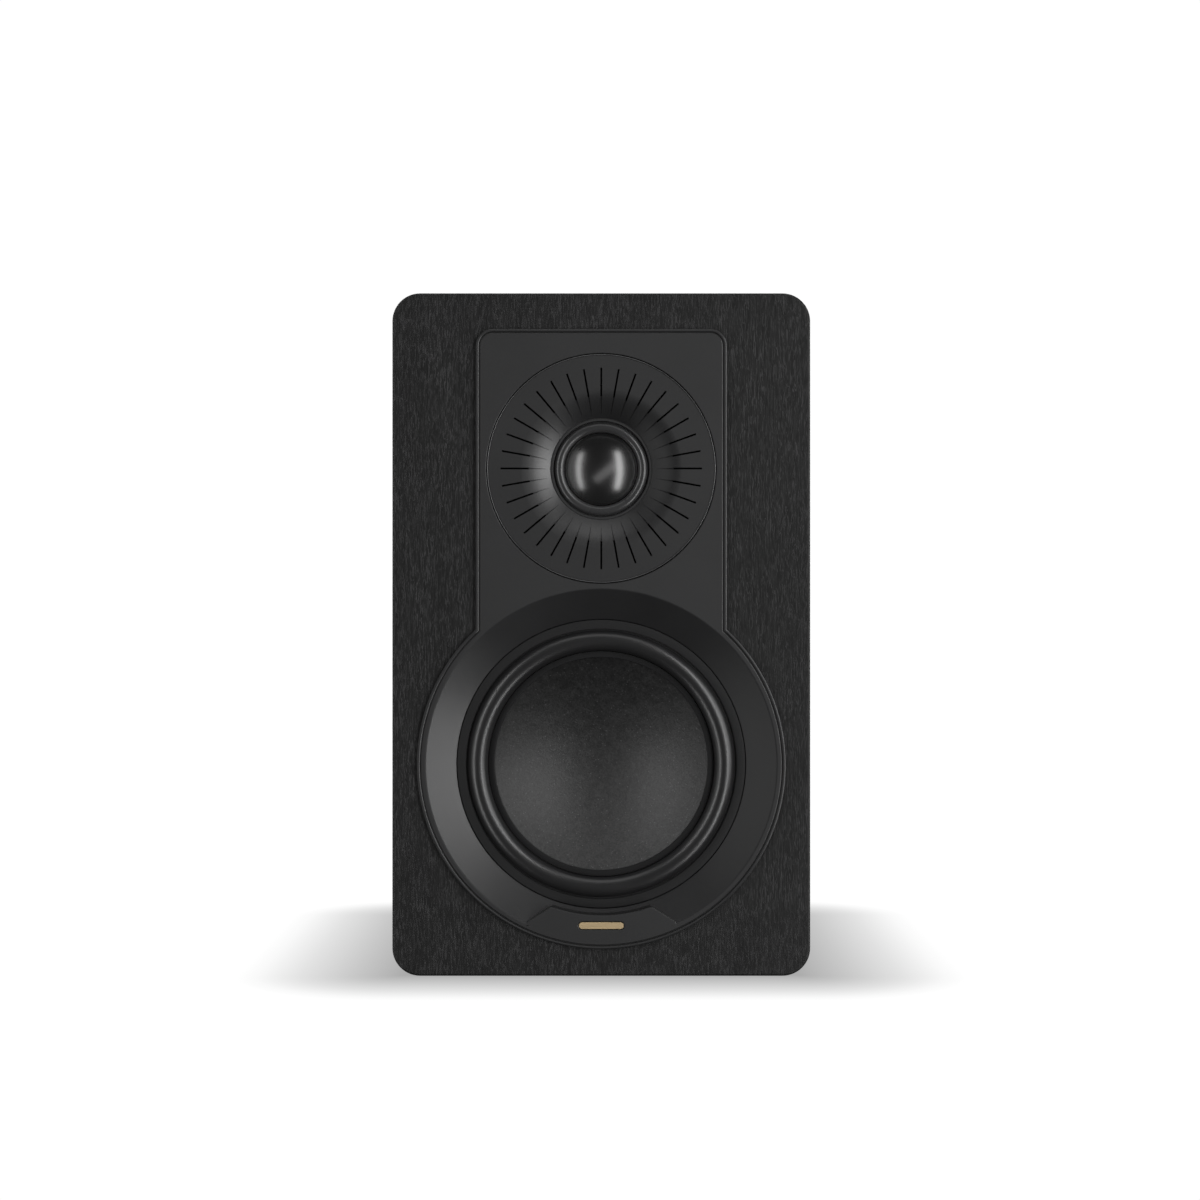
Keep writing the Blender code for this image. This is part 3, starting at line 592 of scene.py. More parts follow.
def perimeter_place(x, z):
    """How far round the cabinet's rounded outline a point lies, from the middle of its base."""
    half = WIDTH / 2 - CORNER_R
    tall = HEIGHT / 2 - CORNER_R
    turn = CORNER_R * math.pi / 2
    side = 1 if x >= 0 else -1
    x = abs(x)
    z -= HEIGHT / 2
    if z < -tall:
        if x < half:
            return side * x
        return side * (half + CORNER_R * math.atan2(x - half, -tall - z))
    if z <= tall and x > half:
        return side * (half + turn + z + tall)
    if x < half:
        return side * (half + 2 * turn + 2 * tall + half - x)
    return side * (half + turn + 2 * tall + CORNER_R * math.atan2(z - tall, x - half))


def grain_map(obj):
    """UV in metres. The grain runs along u: upright on the front and back, and round the box on the wrap."""
    uv = obj.data.uv_layers.new(name="grain")
    place = obj.matrix_world
    for face in obj.data.polygons:
        facing = (place.to_3x3() @ face.normal).normalized()
        for i in face.loop_indices:
            p = place @ obj.data.vertices[obj.data.loops[i].vertex_index].co
            flat = abs(facing.y) > 0.7
            uv.data[i].uv = (p.z, p.x) if flat else (perimeter_place(p.x, p.z), p.y + 1)


def make_cabinet():
    """One wrapped box, hollow behind the baffle. Its open back edge shows how thick the panels are."""
    edge = 1.0 * MM
    back_edge = 0.7 * MM
    loops = []
    for k in range(6):
        a = math.radians(90 * k / 5)
        inset = edge * (1 - math.sin(a))
        loops.append(level(cabinet_outline(inset), -edge * (1 - math.cos(a))))
    for k in range(5):
        a = math.radians(90 * k / 4)
        inset = back_edge * (1 - math.cos(a))
        loops.append(level(cabinet_outline(inset), -DEPTH + back_edge * (1 - math.sin(a))))
    box = loft("cabinet_wrap", loops, CABINET)
    inner = rectangle(WIDTH - 2 * WALL, HEIGHT - 2 * WALL, 0.4 * MM, 2)
    carve(box, prism("cavity", inner, -DEPTH - PAST, -BAFFLE_T, CABINET))
    carve(box, seat("woofer_seat", WOOFER, WOOFER_SEAT_R, WOOFER_SEAT_Z, WOOFER_HOLE_R))
    carve(box, seat("tweeter_seat", TWEETER, TWEETER_SEAT_R, TWEETER_SEAT_Z, TWEETER_HOLE_R))
    smooth(box)
    weigh(box)
    grain_map(box)
    panels = ("side_panel_left", "side_panel_right", "top_panel", "bottom_panel", "front_baffle")
    return finish_piece(box, "cabinet", "cabinet_vinyl", VINYL, *panels)


def cabinet_outline(inset):
    return rectangle(WIDTH - 2 * inset, HEIGHT - 2 * inset, CORNER_R - inset, 14)


def seat(name, at, outer, floor, inner):
    """A stepped round cutter: a shallow seat, then a smaller hole through the baffle."""
    deep = -BAFFLE_T - PAST
    profile = [(0, PAST), (outer, PAST), (outer, floor), (inner, floor), (inner, deep), (0, deep)]
    return lathe(name, profile, at, 144)


def make_rear_panel():
    """The board let into the wrap's open back, with a fine joint line all round."""
    joint = 0.3 * MM
    back = -DEPTH + joint
    board = rectangle(WIDTH - 2 * WALL - 2 * joint, HEIGHT - 2 * WALL - 2 * joint, 0.5 * MM, 2)
    panel = prism("rear_panel_board", board, back, -DEPTH + WALL, CABINET)
    carve(panel, lathe("port_hole", hole(PORT_HOLE_R), PORT, 96))
    carve(panel, prism("cup_hole", rectangle(69 * MM, 47 * MM, 5 * MM), -20 * MM, PAST, CUP))

    def on_back(a, b):
        return abs(a.z - back) < 1e-5 and abs(b.z - back) < 1e-5

    soften(panel, 0.5 * MM, on_back, 2)
    grain_map(panel)
    return finish_piece(panel, "cabinet", "cabinet_vinyl", VINYL, "rear_panel")


def hole(radius, low=-20 * MM, high=PAST):
    """The profile of a plain round cutter."""
    return [(0, high), (radius, high), (radius, low), (0, low)]


# ---- front trim

def keyhole(inset):
    """The trim's outline moved inwards, always with the same number of points."""
    half = TRIM_HALF - inset
    radius = TRIM_R - inset
    corner = TRIM_CORNER_R - inset
    meet = math.degrees(math.acos(half / radius))
    x = half - corner
    y = TRIM_TOP - inset - corner
    outline = arc(x, y, corner, 0, 90, 12) + arc(-x, y, corner, 90, 180, 12)
    return outline + arc(0, 0, radius, 180 - meet, 360 + meet, 230)


def trim_profile():
    """(inset, height) from the outer edge inwards: over the bead, through the groove and up to the face."""
    bead = 0.58 * MM
    crown = TRIM_FACE - 0.5 * MM
    flatness = 0.7
    groove = TRIM_FACE - 0.95 * MM
    groove_end = 2 * bead + 0.3 * MM
    lip = 0.35 * MM
    profile = [(0, 0.02 * MM)]
    profile += [(d, crown + (z - crown) * flatness) for d, z in arc(bead, crown, bead, 180, 0, 12)]
    profile += [(2 * bead, groove), (groove_end, groove)]
    return profile + arc(groove_end + lip, TRIM_FACE - lip, lip, 180, 90, 5)


def make_trim():
    """The keyhole moulding round both drivers."""
    trim = loft("front_trim_moulding", [level(keyhole(d), z) for d, z in trim_profile()], WOOFER)
    shape_throat(trim)
    add_plateau(trim)
    pocket = rectangle(16.3 * MM, 2.7 * MM, 1.35 * MM)
    carve(trim, prism("badge_pocket", pocket, 0.8 * MM, 4 * MM, BADGE))
    carve(trim, lathe("disc_hole", hole(DISC_HOLE_R), TWEETER, 240))

    def on_face(a, b):
        return abs(a.z - TRIM_FACE) < 1e-5 and abs(b.z - TRIM_FACE) < 1e-5

    soften(trim, 0.4 * MM, on_face, 3)
    finish_piece(trim, "cabinet", "trim_plastic", TRIM, "front_trim")


def shape_throat(trim):
    """Joins a skirt behind the moulding, then cuts the chamfer through both, down to the woofer."""
    under = THROAT_Z - 0.4 * MM
    top = 0.5 * MM
    inner = 51 * MM
    outer = 64.5 * MM
    skirt = [(inner, top), (outer, top), (outer, -0.9 * MM), (54 * MM, under), (inner, under)]
    carve(trim, lathe("skirt", skirt, WOOFER), "UNION")
    slope = (CHAMFER_R - THROAT_R) / (TRIM_FACE - THROAT_Z)
    above = 2 * MM
    cone = [
        (0, TRIM_FACE + above),
        (CHAMFER_R + slope * above, TRIM_FACE + above),
        (THROAT_R, THROAT_Z),
        (THROAT_R, under - MM),
        (0, under - MM),
    ]
    carve(trim, lathe("chamfer", cone, WOOFER, 240))


def add_plateau(trim):
    """The level stage that carries the badge, with a moat between it and the woofer."""
    low = -4 * MM
    moat_floor = -3.6 * MM
    root_r = 64.2 * MM
    side_x, side_y = PLATEAU_SIDE
    edge = 270 + math.degrees(math.atan2(side_x, -side_y))
    inner = arc(0, 0, PLATEAU_R, 270 - PLATEAU_HALF_DEG, 270 + PLATEAU_HALF_DEG, 20)
    # The arc's two ends turn into the diagonal edges with a small radius.
    ends = [(-side_x, side_y)] + inner + [(side_x, side_y)]
    plateau = blunt(ends, 2.2 * MM) + arc(0, 0, root_r, edge, 540 - edge, 12)
    reach = PLATEAU_HALF_DEG - 0.4
    moat = arc(0, 0, PLATEAU_R + 0.6 * MM, 270 - reach, 270 + reach, 20)
    moat += arc(0, 0, PLATEAU_R - 0.4 * MM, 270 + reach, 270 - reach, 20)
    carve(trim, prism("plateau_moat", moat, moat_floor, 4 * MM, WOOFER))
    carve(trim, prism("plateau", plateau, low, TRIM_FACE, WOOFER), "UNION")


def make_badge():
    """A plain bar with round ends, let into the plateau and just proud of it."""
    top = TRIM_FACE + 0.15 * MM
    edge = 0.2 * MM
    profile = [(0, 1.0 * MM), (0, top - edge)] + [
        (edge * (1 - math.cos(a)), top - edge * (1 - math.sin(a)))
        for a in (math.radians(30), math.radians(60), math.radians(90))
    ]
    loops = [level(rectangle(BADGE_W - 2 * d, BADGE_H - 2 * d, BADGE_H / 2 - d), z) for d, z in profile]
    bar = loft("badge_bar_inlay", loops, BADGE)
    weigh(bar)
    finish_piece(bar, "cabinet", "badge_metal", GOLD, "badge_bar")


def blunt(points, radius):
    """Rounds the two corners next to the ends of an open outline."""
    head = rounded(points[:3], radius, 5, False)
    tail = rounded(points[-3:], radius, 5, False)
    return head[:-1] + points[2:-2] + tail[1:]


# ---- woofer

def cone_z(radius):
    return CONE_Z - CONE_DEPTH * (1 - (radius / LIP_IN) ** 2)


def make_gasket():
    """The flat ring between the trim's throat and the surround."""
    top = THROAT_Z - 0.1 * MM
    low = -4.6 * MM
    inner = 48.6 * MM
    outer = 51.9 * MM
    ring = rounded([(inner, top), (outer, top), (outer, low), (inner, low)], 0.3 * MM)
    finish_piece(lathe("gasket_ring", ring, WOOFER), "cabinet", "gasket_foam", RING, "woofer_gasket_ring")


def make_surround():
    """A half roll that stays with the cabinet, and a flat lip inside it that travels with the cone."""
    wall = 0.6 * MM
    flange = 51.5 * MM
    root = -8.6 * MM
    near = ROLL_R - ROLL_RADIUS
    outer = arc(ROLL_R, ROLL_BASE, ROLL_RADIUS, 0, 180, 36)
    inner = arc(ROLL_R, ROLL_BASE, ROLL_RADIUS - wall, 180, 0, 30)
    roll = [(flange, ROLL_BASE - wall), (flange, ROLL_BASE)] + outer
    roll += [(near, root), (near + wall, root)] + inner
    obj = lathe("surround_roll", roll, WOOFER, 240)
    finish_piece(obj, "cabinet", "surround_rubber", RUBBER, "woofer_surround")

    edge = LIP_OUT - 0.12 * MM
    web = edge - 0.5 * MM
    foot = -8.4 * MM
    top = CONE_Z + 0.75 * MM
    low = CONE_Z + 0.05 * MM
    lip = [(LIP_IN, low), (LIP_IN + 0.1 * MM, top), (edge, top), (edge, foot), (web, foot), (web, low)]
    obj = lathe("surround_lip", rounded(lip, 0.2 * MM), WOOFER)
    # The lip wears the darker copy of the rubber, which paints the shade of its recess beside the roll.
    finish_piece(obj, "woofer_cone_assembly", "surround_rubber", LIP_RUBBER_PAINTED_SHADE, "woofer_surround")


def make_cone():
    """The shallow one-piece dish."""
    thick = 0.7 * MM
    hem = 39.8 * MM
    steps = 24
    radii = [LIP_IN * k / steps for k in range(steps + 1)]
    face = [(r, cone_z(r)) for r in radii] + [(hem, CONE_Z)]
    back = [(r, z - thick) for r, z in face[::-1]]
    obj = lathe("cone_dish", face + back, WOOFER, 240)
    finish_piece(obj, "woofer_cone_assembly", "cone_paper", PAPER, "woofer_cone")


# ---- tweeter

def horn_z(radius):
    part = max(0.0, (HORN_MOUTH_R - radius) / (HORN_MOUTH_R - HORN_THROAT_R))
    return TRIM_FACE - HORN_DEPTH * part**HORN_CURVE


def slot_blade(shape, angle):
    """One radial slot: full width and depth from 26 to 36 mm, with a shallow tapering groove inside it."""
    above = 4 * MM
    floor = -3 * MM
    stations = [
        (20.0 * MM, 0.07 * MM, horn_z(20 * MM) - 0.15 * MM),
        (23.5 * MM, 0.15 * MM, horn_z(23.5 * MM) - 0.5 * MM),
        (26.0 * MM, SLOT_HALF, horn_z(26 * MM) - 0.75 * MM),
        (26.1 * MM, SLOT_HALF, floor),
        (36.1 * MM, SLOT_HALF, floor),
    ]
    turn = Matrix.Rotation(angle, 4, "Z")
    rings = []
    for radius, half, low in stations:
        corners = ((radius, -half, low), (radius, half, low), (radius, half, above), (radius, -half, above))
        rings.append([shape.verts.new(turn @ Vector(c)) for c in corners])
    shape.faces.new(rings[0])
    shape.faces.new(rings[-1][::-1])
    for a, b in zip(rings, rings[1:]):
        for i in range(4):
            j = (i + 1) % 4
            shape.faces.new((a[j], a[i], b[i], b[j]))


def make_slots():
    mesh = bpy.data.meshes.new("slots")
    shape = bmesh.new()
    for k in range(SLOTS):
        slot_blade(shape, 2 * math.pi * k / SLOTS)
    bmesh.ops.recalc_face_normals(shape, faces=shape.faces)
    shape.to_mesh(mesh)
    shape.free()
    obj = bpy.data.objects.new("slots", mesh)
    obj.matrix_world = TWEETER
    bpy.context.scene.collection.objects.link(obj)
    return obj


def make_waveguide():
    """The slotted disc with its curved horn, and the fine raised ridge round its edge."""
    bead = 0.25 * MM
    span = HORN_MOUTH_R - HORN_THROAT_R
    radii = [HORN_THROAT_R + span * k / 20 for k in range(21)]
    horn = [(r, horn_z(r)) for r in radii]
    rim_floor = TRIM_FACE - 1.2 * bead
    rim = [(DISC_R - 2.1 * bead, TRIM_FACE), (DISC_R - 1.9 * bead, rim_floor), (DISC_R, rim_floor)]
    behind = -3.7 * MM
    lip = HORN_FLOOR - 0.15 * MM
    throat = [
        (17.3 * MM, behind), (17.3 * MM, HORN_FLOOR - 0.1 * MM), (17.4 * MM, HORN_FLOOR),
        (HORN_THROAT_R - 0.35 * MM, HORN_FLOOR), (HORN_THROAT_R - 0.25 * MM, lip),
        (HORN_THROAT_R - 0.05 * MM, lip),
    ]
    back = [(DISC_R, -1.2 * MM), (39 * MM, -1.2 * MM), (39 * MM, -0.4 * MM), (27 * MM, -0.4 * MM)]
    back += [(20 * MM, behind)]
    disc = lathe("waveguide_disc", throat + horn + rim + back, TWEETER, 288)
    carve(disc, make_slots())
    smooth(disc)
    weigh(disc)
    finish_piece(disc, "cabinet", "waveguide_plastic", DISC, "tweeter_waveguide")

    # The ridge is the same moulding as the disc, but its lighter plastic paints the bright highlight line
    # along the disc's edge.
    low = TRIM_FACE - 1.15 * bead
    half = 0.55 * bead
    ridge = [(DISC_R, low)] + arc(DISC_R - half, TRIM_FACE, half, 0, 180, 10) + [(DISC_R - 2 * half, low)]
    obj = lathe("waveguide_rim", ridge, TWEETER, 288)
    finish_piece(obj, "cabinet", "waveguide_plastic", RIM, "tweeter_waveguide")


def make_tweeter_surround():
    """The half roll of film round the dome."""
    film = 0.25 * MM
    base = -4.35 * MM
    middle = 15.0 * MM
    radius = 1.8 * MM
    edge = 17.15 * MM
    roll = arc(middle, base, radius, 0, 180, 20)
    inner = arc(middle, base, radius - film, 180, 0, 20)
    outline = [(edge, base - film), (edge, base)] + roll + inner
    obj = lathe("dome_surround", outline, TWEETER)
    finish_piece(obj, "cabinet", "tweeter_surround_film", FILM, "tweeter_surround")


def make_dome():
    """A cap of a sphere, as wide as DOME_R and as tall as DOME_H."""
    thick = 0.3 * MM
    sphere = (DOME_R**2 + DOME_H**2) / (2 * DOME_H)
    half = math.degrees(math.asin(DOME_R / sphere))
    middle = DOME_Z + DOME_H - sphere
    outer = arc(0, middle, sphere, 90, 90 - half, 24)
    under = arc(0, middle, sphere - thick, 90 - half, 90, 24)
    cap = [(0, outer[0][1])] + outer[1:] + under[:-1] + [(0, under[-1][1])]
    obj = lathe("dome_cap", cap, TWEETER)
    finish_piece(obj, "tweeter_dome_assembly", "dome_film", DOME, "tweeter_dome")


# ---- back

def make_port():
    """The flared mouth and its tube, as one turned piece."""
    mouth = 24 * MM
    throat = 17 * MM
    tube = 19 * MM
    flange = 27.4 * MM
    flare = 12 * MM
    lip = 2 * MM
    foot = 0.1 * MM
    end_z = -97.9 * MM
    inside = []
    for k in range(17):
        a = math.radians(90 * k / 16)
        inside.append((mouth - (mouth - throat) * math.sin(a), lip - flare * (1 - math.cos(a))))
    inside.append((throat, -97 * MM))
    end = rounded([(throat, end_z), (tube, end_z)], 0.3 * MM, 3, False)
    outside = [(tube, -10 * MM), (22.8 * MM, foot)]
    rim = rounded([(flange, foot), (flange, lip), (mouth, lip)], 0.8 * MM, 5, False)[:-1]
    obj = lathe("port_flare", inside + end + outside + rim, PORT)
    finish_piece(obj, "cabinet", "port_plastic", PORT_PLASTIC, "port_tube")


def in_cup(x, y=0):
    return CUP @ Matrix.Translation((x, y, 0))


def make_cup():
    """The terminal cup: a rounded flange, a shell behind it and a drafted recess for the terminals."""
    edge = 1.2 * MM
    loops = [level(rectangle(CUP_W, CUP_H, CUP_CORNER), 0.05 * MM)]
    for k in range(5):
        a = math.radians(90 * k / 4)
        d = edge * (1 - math.cos(a))
        outline = rectangle(CUP_W - 2 * d, CUP_H - 2 * d, CUP_CORNER - d)
        loops.append(level(outline, CUP_FACE - edge * (1 - math.sin(a))))
    cup = loft("terminal_cup_moulding", loops, CUP)
    shell = rectangle(68 * MM, 46 * MM, 5 * MM)
    carve(cup, prism("cup_shell", shell, CUP_FLOOR - 2 * MM, 1 * MM, CUP), "UNION")
    drafted = [
        level(rectangle(60 * MM, 38 * MM, 3 * MM), CUP_FLOOR),
        level(rectangle(61.5 * MM, 39.5 * MM, 3.5 * MM), CUP_FLOOR + 1 * MM),
        level(rectangle(64 * MM, 42 * MM, 4.5 * MM), CUP_FACE - 0.5 * MM),
        level(rectangle(66 * MM, 44 * MM, 5.5 * MM), CUP_FACE + 0.5 * MM),
        level(rectangle(66 * MM, 44 * MM, 5.5 * MM), CUP_FACE + 4 * MM),
    ]
    carve(cup, loft("recess", drafted, CUP))
    for x in (POST_X, -POST_X):
        carve(cup, lathe("post_hole", hole(POST_HOLE_R, -25 * MM, 0), in_cup(x), 48))
    for x, y in EARS:
        carve(cup, lathe("ear_hole", hole(1.8 * MM), in_cup(x, y), 32))
    smooth(cup, 40)
    weigh(cup)
    finish_piece(cup, "cabinet", "cup_plastic", CUP_PLASTIC, "terminal_cup")
    for colour, x, look in (("red", POST_X, KNOB_RED), ("black", -POST_X, KNOB_BLACK)):
        make_collar(colour, x, look)
        make_knob(colour, x, look)


def make_collar(colour, x, look):
    """A raised ring round a post, which shows its polarity by colour."""
    inner = 5.6 * MM
    outer = 8.2 * MM
    top = CUP_FLOOR + 0.9 * MM
    low = CUP_FLOOR + 0.02 * MM
    ring = rounded([(inner, top), (outer, top), (outer, low), (inner, low)], 0.3 * MM)
    obj = lathe(f"post_collar_{colour}", ring, in_cup(x), 96)
    finish_piece(obj, "cabinet", f"knob_{colour}_plastic", look)


def make_knob(colour, x, look):
    """A fluted cap with a plain collar at each end, open underneath for its post."""
    low = -10.6 * MM
    high = 6.2 * MM
    flutes = 18
    groove = 0.45
    count = flutes * 10
    # height, radius in mm, and how deep the flutes are there, from 0 to 1
    stations = [
        (low, 6.2, 0), (low + 0.4 * MM, 6.6, 0), (low + 1.6 * MM, 6.6, 0), (low + 2.0 * MM, 6.3, 0),
        (low + 2.6 * MM, 6.75, 0.5), (low + 3.6 * MM, 6.75, 1), (high - 3.4 * MM, 6.75, 1),
        (high - 2.4 * MM, 6.75, 0.5), (high - 1.9 * MM, 6.5, 0), (high - 0.8 * MM, 6.4, 0),
        (high - 0.25 * MM, 6.05, 0), (high, 5.5, 0),
    ]
    loops = []
    for z, radius, cut in stations:
        loop = []
        for i in range(count):
            wave = abs(math.sin(math.pi * flutes * i / count)) ** 0.6
            r = (radius - groove * cut * (1 - wave)) * MM
            angle = 2 * math.pi * i / count
            loop.append((r * math.cos(angle), r * math.sin(angle), z))
        loops.append(loop)
    at = in_cup(x)
    knob = loft(f"knob_{colour}_fluted", loops, at)
    carve(knob, lathe("knob_bore", hole(POST_HOLE_R, -12 * MM, 1 * MM), at, 48))
    dimple = [(0, high + MM), (3.6 * MM, high + MM), (3.4 * MM, high - 0.5 * MM), (0, high - 0.5 * MM)]
    carve(knob, lathe("knob_dimple", dimple, at, 64))
    smooth(knob, 35)
    weigh(knob)
    finish_piece(knob, f"knob_{colour}", f"knob_{colour}_plastic", look, f"terminal_knob_{colour}")


def make_cup_screws():
    """Black pan-head screws with a cross recess, each turned a little differently."""
    seat_z = 2.85 * MM
    shank = 1.4 * MM
    tip = -9 * MM
    head = arc(0, seat_z - 1.75 * MM, 3.4 * MM, 90, 34, 12)
    profile = [(0, head[0][1])] + head[1:]
    profile += [(head[-1][0], seat_z), (shank, seat_z), (shank, tip), (0, tip)]
    for i, (x, y) in enumerate(EARS):
        at = in_cup(x, y) @ Matrix.Rotation(math.radians(20 + 50 * i), 4, "Z")
        obj = lathe(f"cup_screw_{i + 1}_head", profile, at, 48)
        for turn in (0, math.pi / 2):
            bar = [
                level(rectangle(1.5 * MM, 0.35 * MM, 0.1 * MM, 2), seat_z + 0.2 * MM),
                level(rectangle(3.1 * MM, 0.75 * MM, 0.2 * MM, 2), seat_z + 3 * MM),
            ]
            carve(obj, loft("cross", bar, at @ Matrix.Rotation(turn, 4, "Z")))
        smooth(obj)
        finish_piece(obj, "cabinet", "screw_black", SCREW_BLACK, f"cup_screw_{i + 1}")


def make_leads():
    """Copies the cone's two leads as copper pieces of their own, and hides their CAD nodes."""
    for node in ("woofer_lead_plus", "woofer_lead_minus"):
        source = frame["nodes"][node]
        mesh = source.data.copy()
        mesh.transform(source.matrix_world)
        obj = bpy.data.objects.new(node + "_flex", mesh)
        bpy.context.scene.collection.objects.link(obj)
        obj.data.materials.clear()
        obj.data.materials.append(NODE_LOOKS["copper"])
        smooth(obj)
        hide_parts(node)
        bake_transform(obj)


def dress_cad_nodes():
    """Gives every CAD node that still shows the look of its slot."""
    slots = {part["node"]: part["material_slot"] for part in frame["record"]["subparts"]}
    for name, obj in frame["nodes"].items():
        look = NODE_LOOKS.get(slots[name])
        if look is None:
            continue
        obj.data.materials.clear()
        obj.data.materials.append(look)
        for face in obj.data.polygons:
            face.use_smooth = True
        obj.data.set_sharp_from_angle(angle=math.radians(40))


# ---- stage

CAMERA_DISTANCE = 932 * MM
CAMERA_HEIGHT = 134.9 * MM
CAMERA_X = -0.46 * MM
FOCAL_MM = 77.97
# How far the floor's painted contact shadow reaches from the box's footprint.
SHADOW_REACH = 62 * MM
WHITE = 1.02  # just over full, so that the ground renders as pure white


def make_camera():
    data = bpy.data.cameras.new("camera")
    data.lens = FOCAL_MM
    data.sensor_width = 36
    camera = bpy.data.objects.new("camera", data)
    camera.location = (CAMERA_X, FRONT_Y - CAMERA_DISTANCE, CAMERA_HEIGHT)
    camera.rotation_euler = (math.pi / 2, 0, 0)
    bpy.context.scene.collection.objects.link(camera)
    bpy.context.scene.camera = camera


def make_floor():
    """A plain white table that glows evenly, with a painted contact shadow that fades out with the distance
    from the box's footprint.
    """
    size = 6.0
    below = Matrix.Translation((0, 0, -0.2 * MM))
    inset = 4 * MM
    corners = [(-size, -size, 0), (size, -size, 0), (size, size, 0), (-size, size, 0)]
    floor = add("floor", corners, [(0, 1, 2, 3)], below)
    look = Look("floor_white_painted_shadow")
    parts = look.nodes.new("ShaderNodeSeparateXYZ")
    look.links.new(look.coordinates, parts.inputs[0])
    squares = []
    for axis, half in ((0, WIDTH / 2 - inset), (1, DEPTH / 2 - inset)):
        beyond = look.math("SUBTRACT", look.math("ABSOLUTE", parts.outputs[axis]), half)
        squares.append(look.math("POWER", look.math("MAXIMUM", beyond, 0.0), 2.0))
    distance = look.math("SQRT", look.math("ADD", *squares))
    part = look.math("DIVIDE", distance, SHADOW_REACH)
    # Painted shadow: the floor's colour darkens towards the box's footprint and fades to white at
    # SHADOW_REACH.
    tone = look.ramp(part, ((0.0, 0.40), (0.08, 0.45), (0.3, 0.57), (0.6, 0.75), (0.85, 0.93), (1.0, 1.0)))
    emission = look.nodes.new("ShaderNodeEmission")
    emission.inputs["Strength"].default_value = WHITE
    look.links.new(tone, emission.inputs["Color"])
    look.links.new(emission.outputs[0], look.nodes["Material Output"].inputs["Surface"])
    floor.data.materials.append(look.material)
    floor.visible_diffuse = False
    floor.visible_glossy = False
    floor.visible_shadow = False


def softbox(name, azimuth, distance, height, width, tall, power, roll=0):
    """A rectangular light that faces the speaker. Azimuth 0 is in front and 90 on its right."""
    data = bpy.data.lights.new(name, "AREA")
    data.shape = "RECTANGLE"
    data.size = width
    data.size_y = tall
    data.energy = power
    light = bpy.data.objects.new(name, data)
    angle = math.radians(azimuth)
    light.location = (distance * math.sin(angle), -distance * math.cos(angle), height)
    target = Vector((0, 0, HEIGHT / 2))
    aim = (target - light.location).to_track_quat("-Z", "Y").to_matrix()
    light.rotation_euler = (aim @ Matrix.Rotation(math.radians(roll), 3, "Z")).to_euler()
    light.visible_camera = False
    bpy.context.scene.collection.objects.link(light)
    return light


def link_light(light, state, pieces):
    """Keeps a light to some pieces (INCLUDE), or off them (EXCLUDE)."""
    targets = bpy.data.collections.new(light.name + "_targets")
    light.light_linking.receiver_collection = targets
    for i, piece in enumerate(pieces):
        targets.objects.link(bpy.data.objects[piece])
        targets.collection_objects[i].light_linking.link_state = state


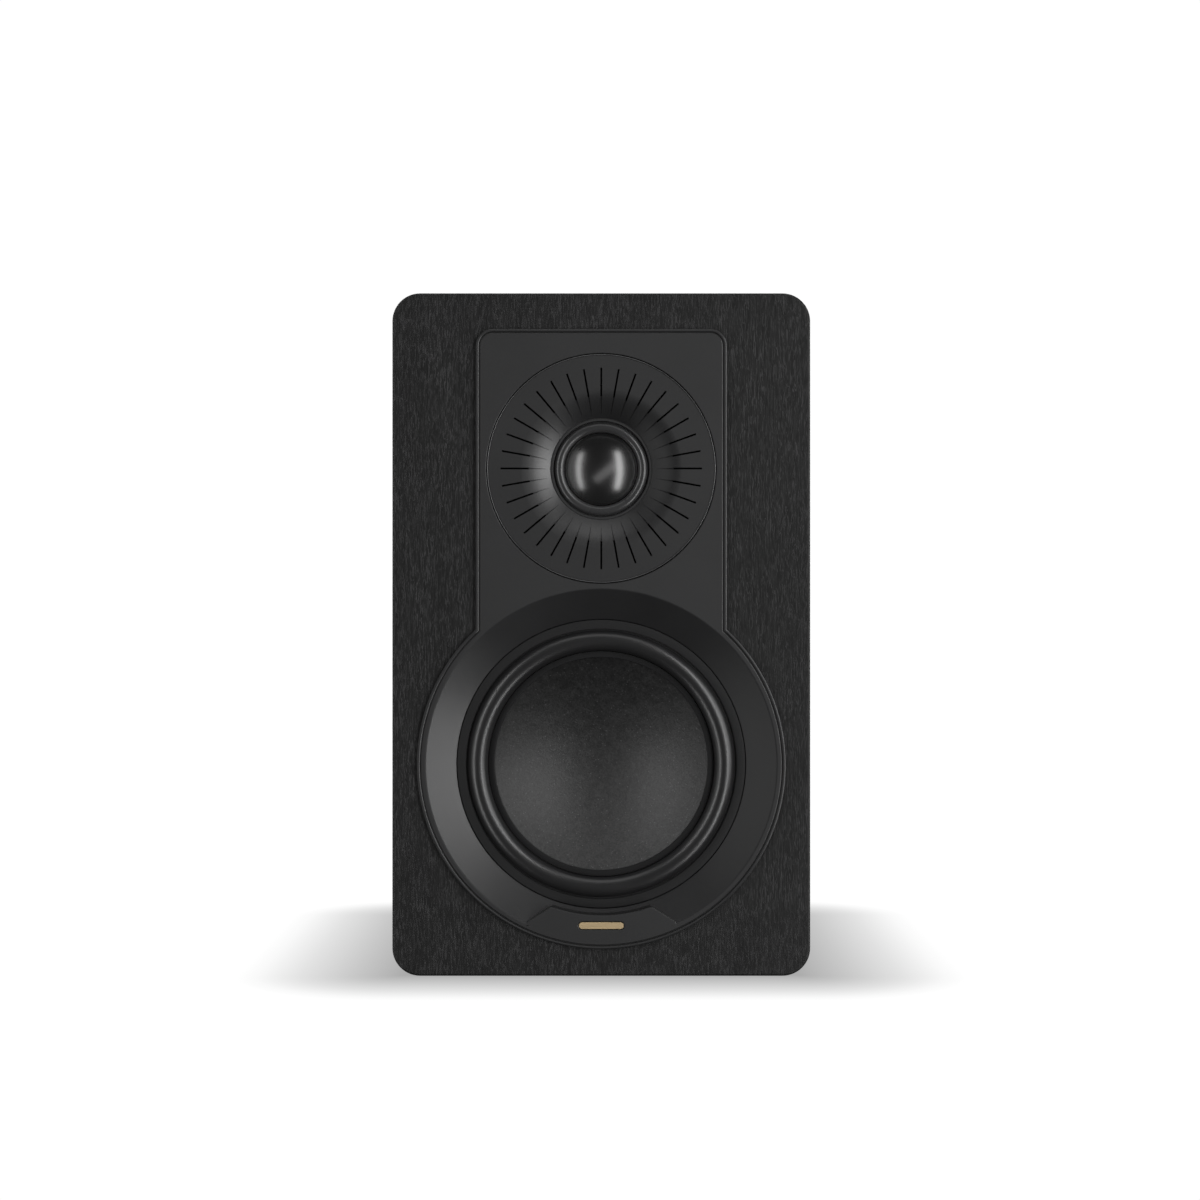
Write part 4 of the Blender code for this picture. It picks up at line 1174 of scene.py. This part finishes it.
def make_lights():
    """Tall strips at both sides of the camera draw the highlights. The rest is broad and weak.

    The dome, the cone and the front plastic have lights of their own, because the photo shows highlights on
    them that one shared set can't give. INCLUDE lights only the pieces named, and EXCLUDE all the others.
    """
    middle = HEIGHT / 2
    plastic = ("front_trim_moulding", "waveguide_disc", "waveguide_rim")
    horn = ("waveguide_disc", "waveguide_rim")
    # name, then azimuth, distance, height, width, tall, power and any roll, then the link and its pieces
    lights = (
        ("key_right", (37, 1.3, middle + 0.03, 0.3, 1.95, 9), "EXCLUDE", ("cone_dish", *plastic)),
        ("key_left", (-46, 1.3, middle + 0.02, 0.24, 1.75, 5.2), "EXCLUDE", ("cone_dish", *plastic)),
        ("side_right", (60, 1.3, middle + 0.2, 0.6, 0.9, 3.2), "EXCLUDE", ("dome_cap", *plastic)),
        ("side_left", (-72, 1.3, middle + 0.03, 0.6, 1.9, 1.4), "EXCLUDE", ()),
        ("overhead", (0, 0.5, 1.35, 1.4, 0.9, 3), "EXCLUDE", ("dome_cap",)),
        ("dome_front", (8, 1.3, middle - 0.05, 1.3, 0.36, 1.35, 40), "INCLUDE", ("dome_cap",)),
        ("cone_right", (37, 1.3, 0.42, 0.3, 1.6, 6), "INCLUDE", ("cone_dish",)),
        ("cone_left", (-40, 1.3, 0.42, 0.3, 1.6, 7.6), "INCLUDE", ("cone_dish",)),
        ("horn_right", (70, 1.3, 0.19, 0.3, 0.5, 3.3), "INCLUDE", horn),
        ("horn_top", (5, 0.8, 1.0, 0.6, 0.3, 1), "INCLUDE", horn),
        ("trim_key", (57, 1.3, 0.2, 0.5, 1.4, 11), "INCLUDE", plastic),
        ("trim_left", (-48, 1.3, middle, 0.5, 1.75, 1.9), "INCLUDE", plastic),
        ("trim_fill", (14, 1.3, 0.25, 1.2, 1.2, 2.15), "INCLUDE", plastic),
        ("back_left", (-140, 1.4, 0.5, 0.7, 1.4, 14), "EXCLUDE", ()),
        ("back_right", (140, 1.4, 0.5, 0.7, 1.4, 14), "EXCLUDE", ()),
        ("back_top", (180, 1.2, 1.6, 1.0, 0.8, 10), "EXCLUDE", ()),
    )
    for name, place, state, pieces in lights:
        light = softbox(name, *place)
        if pieces:
            link_light(light, state, pieces)


def make_world():
    """White all round for the camera, and a faint even fill for the object."""
    world = bpy.data.worlds.new("studio")
    bpy.context.scene.world = world
    world.use_nodes = True
    nodes = world.node_tree.nodes
    links = world.node_tree.links
    fill = nodes["Background"]
    fill.inputs["Color"].default_value = (1, 1, 1, 1)
    fill.inputs["Strength"].default_value = 0.04
    backdrop = nodes.new("ShaderNodeBackground")
    backdrop.inputs["Color"].default_value = (1, 1, 1, 1)
    backdrop.inputs["Strength"].default_value = WHITE
    rays = nodes.new("ShaderNodeLightPath")
    mix = nodes.new("ShaderNodeMixShader")
    links.new(rays.outputs["Is Camera Ray"], mix.inputs[0])
    links.new(fill.outputs[0], mix.inputs[1])
    links.new(backdrop.outputs[0], mix.inputs[2])
    links.new(mix.outputs[0], nodes["World Output"].inputs["Surface"])


make_camera()
make_world()
make_floor()
make_cabinet()
make_rear_panel()
make_trim()
make_badge()
make_gasket()
make_surround()
make_cone()
make_waveguide()
make_tweeter_surround()
make_dome()
make_port()
make_cup()
make_cup_screws()
make_leads()
dress_cad_nodes()
make_lights()
bpy.context.scene.view_settings.view_transform = "Standard"
